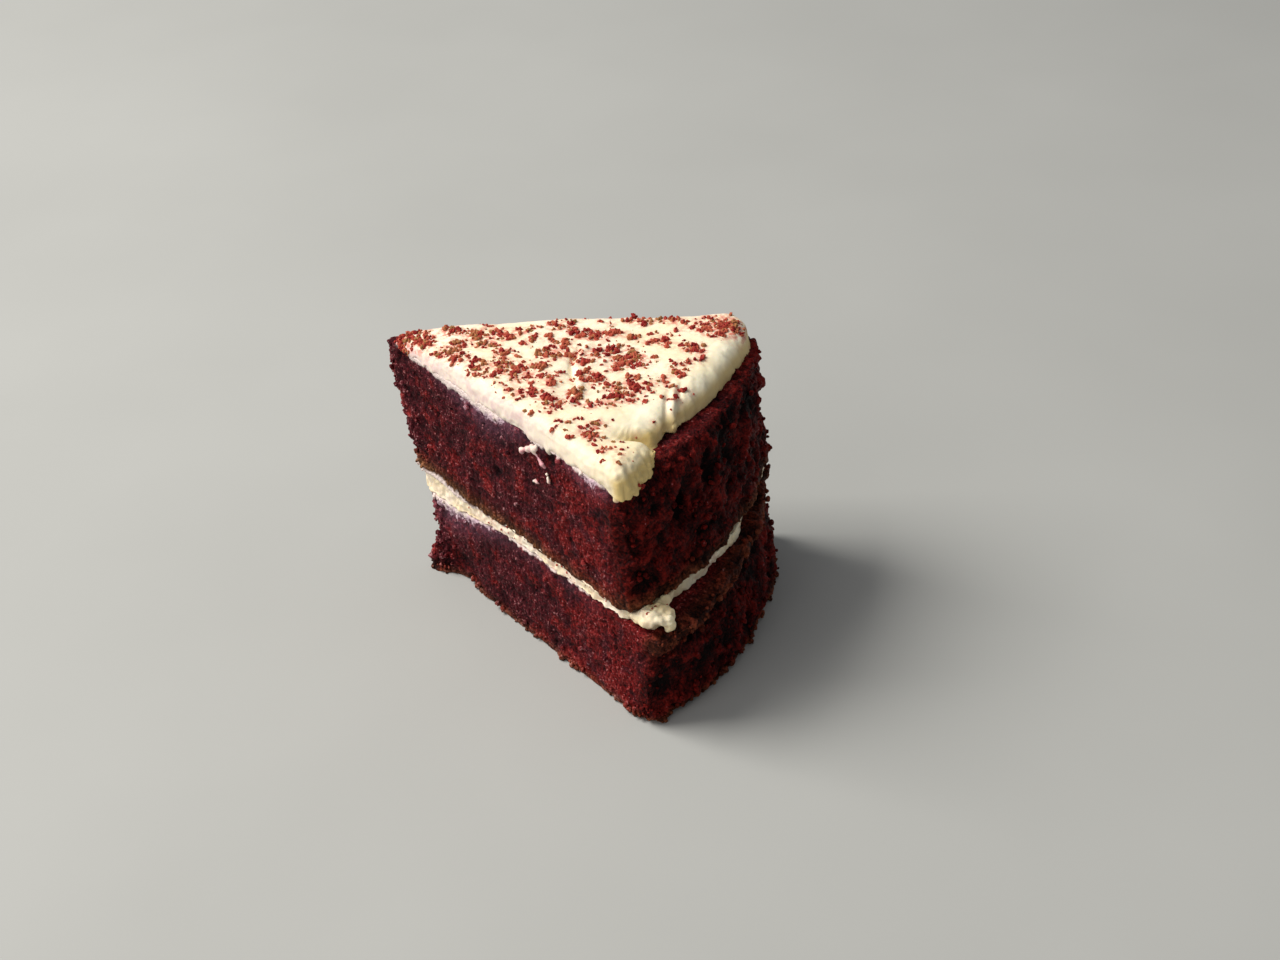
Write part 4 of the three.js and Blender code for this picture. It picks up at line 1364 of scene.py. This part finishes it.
def fused_crumbs():
    """Places and radii of the solids' crumbs: heaps, clumps in them, crumbs in a clump."""
    stream = random_from(CRUMB_SEED)

    def draw():
        return next(stream)

    def spread():
        return draw() + draw() + draw() - 3 / 2

    whole = sum(weight for _, _, weight in CRUMB_HEAPS)
    bare = CRUMB_CLEAR_OF_CUT
    found = []
    while len(found) < CRUMB_COUNT:
        pick = draw() * whole
        for at, heap_spread, weight in CRUMB_HEAPS:
            pick -= weight
            if pick < 0:
                break
        clump = [middle + reach * spread() for middle, reach in zip(at, heap_spread)]
        for _ in range(1 + math.floor(4 * draw())):
            x = clump[0] + CRUMB_CLUMP * spread()
            y = clump[1] + CRUMB_CLUMP * spread()
            radius = lerp(*CRUMB_RADIUS, draw() ** 1.5)
            draw()  # the turn of the solid's crumb
            inset = insets(TOPPING, np.array([x]), np.array([y]), CROWN)
            front = lerp(bare["near_tip"], bare["far"], min(max(x / bare["length"], 0), 1))
            clear = inset["front"][0] > front and inset["back"][0] > radius
            if clear and inset["rim"][0] > CRUMB_CLEAR_OF_RIM and len(found) < CRUMB_COUNT:
                found.append((x, y, radius))
    return np.array(found)


def sprinkled(random):
    """Places and radii of the smaller crumbs and of the specks."""
    spots = np.concatenate([
        random.normal(at, np.multiply(SPRINKLE_REACH, spread), (round(SPRINKLE_SHARE * count), 2))
        for at, spread, count in SPRINKLES
    ])
    specks = spots[random.integers(0, len(spots), SPECK_COUNT)]
    specks += random.normal(0, SPECK_SPREAD, (SPECK_COUNT, 2))
    found = []
    for places, (least, most) in ((spots, SPRINKLE_RADIUS), (specks, SPECK_RADIUS)):
        inset = insets(TOPPING, *places.T, CROWN)
        clear = np.all([inset[edge] > distance for edge, distance in SPRINKLE_CLEAR.items()], axis=0)
        kept = places[clear]
        radii = lerp(least, most, random.random(len(kept)) ** 1.4)
        found.append(np.column_stack([kept, radii]))
    found[0] = np.concatenate([found[0], EDGE_CRUMBS])
    return found


def wall_crumbs(random):
    """Starts and ways of rays toward the topping's walls near its tip, where crumbs cling, and radii."""
    found = []
    for angle, low, high, count in TIP_CRUMBS:
        way = np.array([math.cos(angle), math.sin(angle), 0])
        side = np.array([-way[1], way[0], 0])
        for _ in range(count):
            across = lerp(low, high, random.random() ** 1.5)
            start = np.array(TIP_MIDDLE) + side * across - RAY_START * way
            start[2] = lerp(*TIP_CRUMB_HEIGHTS, random.random() ** 0.7)
            found.append((start, way, lerp(*SPRINKLE_RADIUS, random.random() ** 1.3)))
    angle = math.radians(LOBE_CRUMB["angle"])
    out = np.array([math.cos(angle), math.sin(angle), 0])
    found.append((RAY_OUTSIDE * out + (0, 0, LOBE_CRUMB["height"]), -out, LOBE_CRUMB["radius"]))
    return found


def crumb_pieces(mesh, batches, material):
    """Crumbs as clusters of uneven grains, lying on the frosting."""
    random = np.random.default_rng(8)
    surface = BVHTree.FromPolygons([tuple(point) for point in points_of(mesh)], faces_of(mesh))
    parts = []
    tones = []
    down = np.array([0, 0, -1])
    rays = [[(np.array([x, y, RAY_TOP]), down, radius) for x, y, radius in batch] for batch in batches]
    rays[1] += wall_crumbs(random)
    for batch, (members, fineness) in zip(rays, CRUMB_KINDS):
        centres = []
        radii = []
        own = []
        for start, way, radius in batch:
            hit = surface.ray_cast(Vector(start), Vector(way))[0]
            if hit is None:
                continue
            count = int(random.integers(*members))
            tone = random.beta(0.8, 1.0)
            for member in range(count):
                share = 1 if count == 1 else random.uniform(0.34, 0.6)
                offset = random.normal(0, 0.36 * radius, 3) if member else np.zeros(3)
                offset -= way * (offset @ way)
                lift = random.uniform(-0.05, 0.3) * radius
                centres.append(np.array(hit) + offset - lift * way)
                radii.append(radius * share)
                own.append(np.clip(tone + random.normal(0, 0.1), 0, 1))
        parts.append(grains(np.array(centres), np.array(radii), fineness, 0.6, 0.3, random))
        tones.append(np.repeat(own, len(parts[-1][0]) // len(centres)))
    made = mesh_from("cake_crumbs", *joined(parts), {"tone": np.concatenate(tones)})
    made.data.polygons.foreach_set("use_smooth", np.zeros(len(made.data.polygons), bool))
    made.data.materials.append(material)
    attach(made, BODY)
    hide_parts("frosting")


# The scene round the slice, in metres

SLICE_MIDDLE = Vector((0, 0, 0.05))
FLOOR_SIZE = 6


def camera():
    forward = CAMERA_FORWARD.normalized()
    right = forward.cross(Vector((0, 0, 1))).normalized()
    up = right.cross(forward)
    across = right * math.cos(CAMERA_ROLL) - up * math.sin(CAMERA_ROLL)
    upright = right * math.sin(CAMERA_ROLL) + up * math.cos(CAMERA_ROLL)
    data = bpy.data.cameras.new("camera")
    data.sensor_width = SENSOR
    data.lens = SENSOR * PHOTO_FOCAL / PHOTO_WIDTH
    data.clip_start = 0.01
    made = linked("camera", data)
    turn = Matrix((across, upright, -forward)).transposed().to_4x4()
    made.matrix_world = Matrix.Translation(CAMERA_AT) @ turn
    bpy.context.scene.camera = made


def area_light(name, at, size, power, tint):
    """A soft light that faces the middle of the slice."""
    data = bpy.data.lights.new(name, "AREA")
    data.size = size
    data.energy = power
    data.color = tint
    made = linked(name, data)
    made.location = at
    made.rotation_euler = (SLICE_MIDDLE - Vector(at)).to_track_quat("-Z", "Y").to_euler()


def surroundings():
    bpy.ops.mesh.primitive_plane_add(size=FLOOR_SIZE)
    floor = bpy.context.object
    floor.name = "floor"
    floor.data.materials.append(floor_material())
    world = bpy.data.worlds.new("studio")
    world.use_nodes = True
    sky = world.node_tree.nodes["Background"]
    sky.inputs["Color"].default_value = (0.94, 0.96, 1.0, 1.0)
    sky.inputs["Strength"].default_value = 0.28
    bpy.context.scene.world = world
    area_light("window", at=(-1.2, -0.3, 1.5), size=1.1, power=50, tint=(1.0, 0.98, 0.94))
    area_light("front_fill", at=(-0.5, -1.6, 1.0), size=1.0, power=7, tint=(1.0, 0.96, 0.93))
    bpy.context.scene.view_settings.view_transform = "Standard"


camera()
surroundings()
sponge_look = sponge_material("cake_sponge")
cream_look = cream_material("cream_frosting")
sponge("lower_sponge", "sponge_lower", LOWER_SPONGE, LOWER_MARKS, sponge_look)
sponge("upper_sponge", "sponge_upper", UPPER_SPONGE, UPPER_MARKS, sponge_look)
crumb_look = crumb_material("cake_crumbs")
filling_crumbs(filling(cream_look), crumb_look)
topping_mesh = frosting()
crumb_batches = [fused_crumbs(), *sprinkled(np.random.default_rng(14))]
crumb_pieces(topping_mesh, crumb_batches, crumb_look)
finish_frosting(topping_mesh, np.concatenate(crumb_batches[:2]), cream_look)
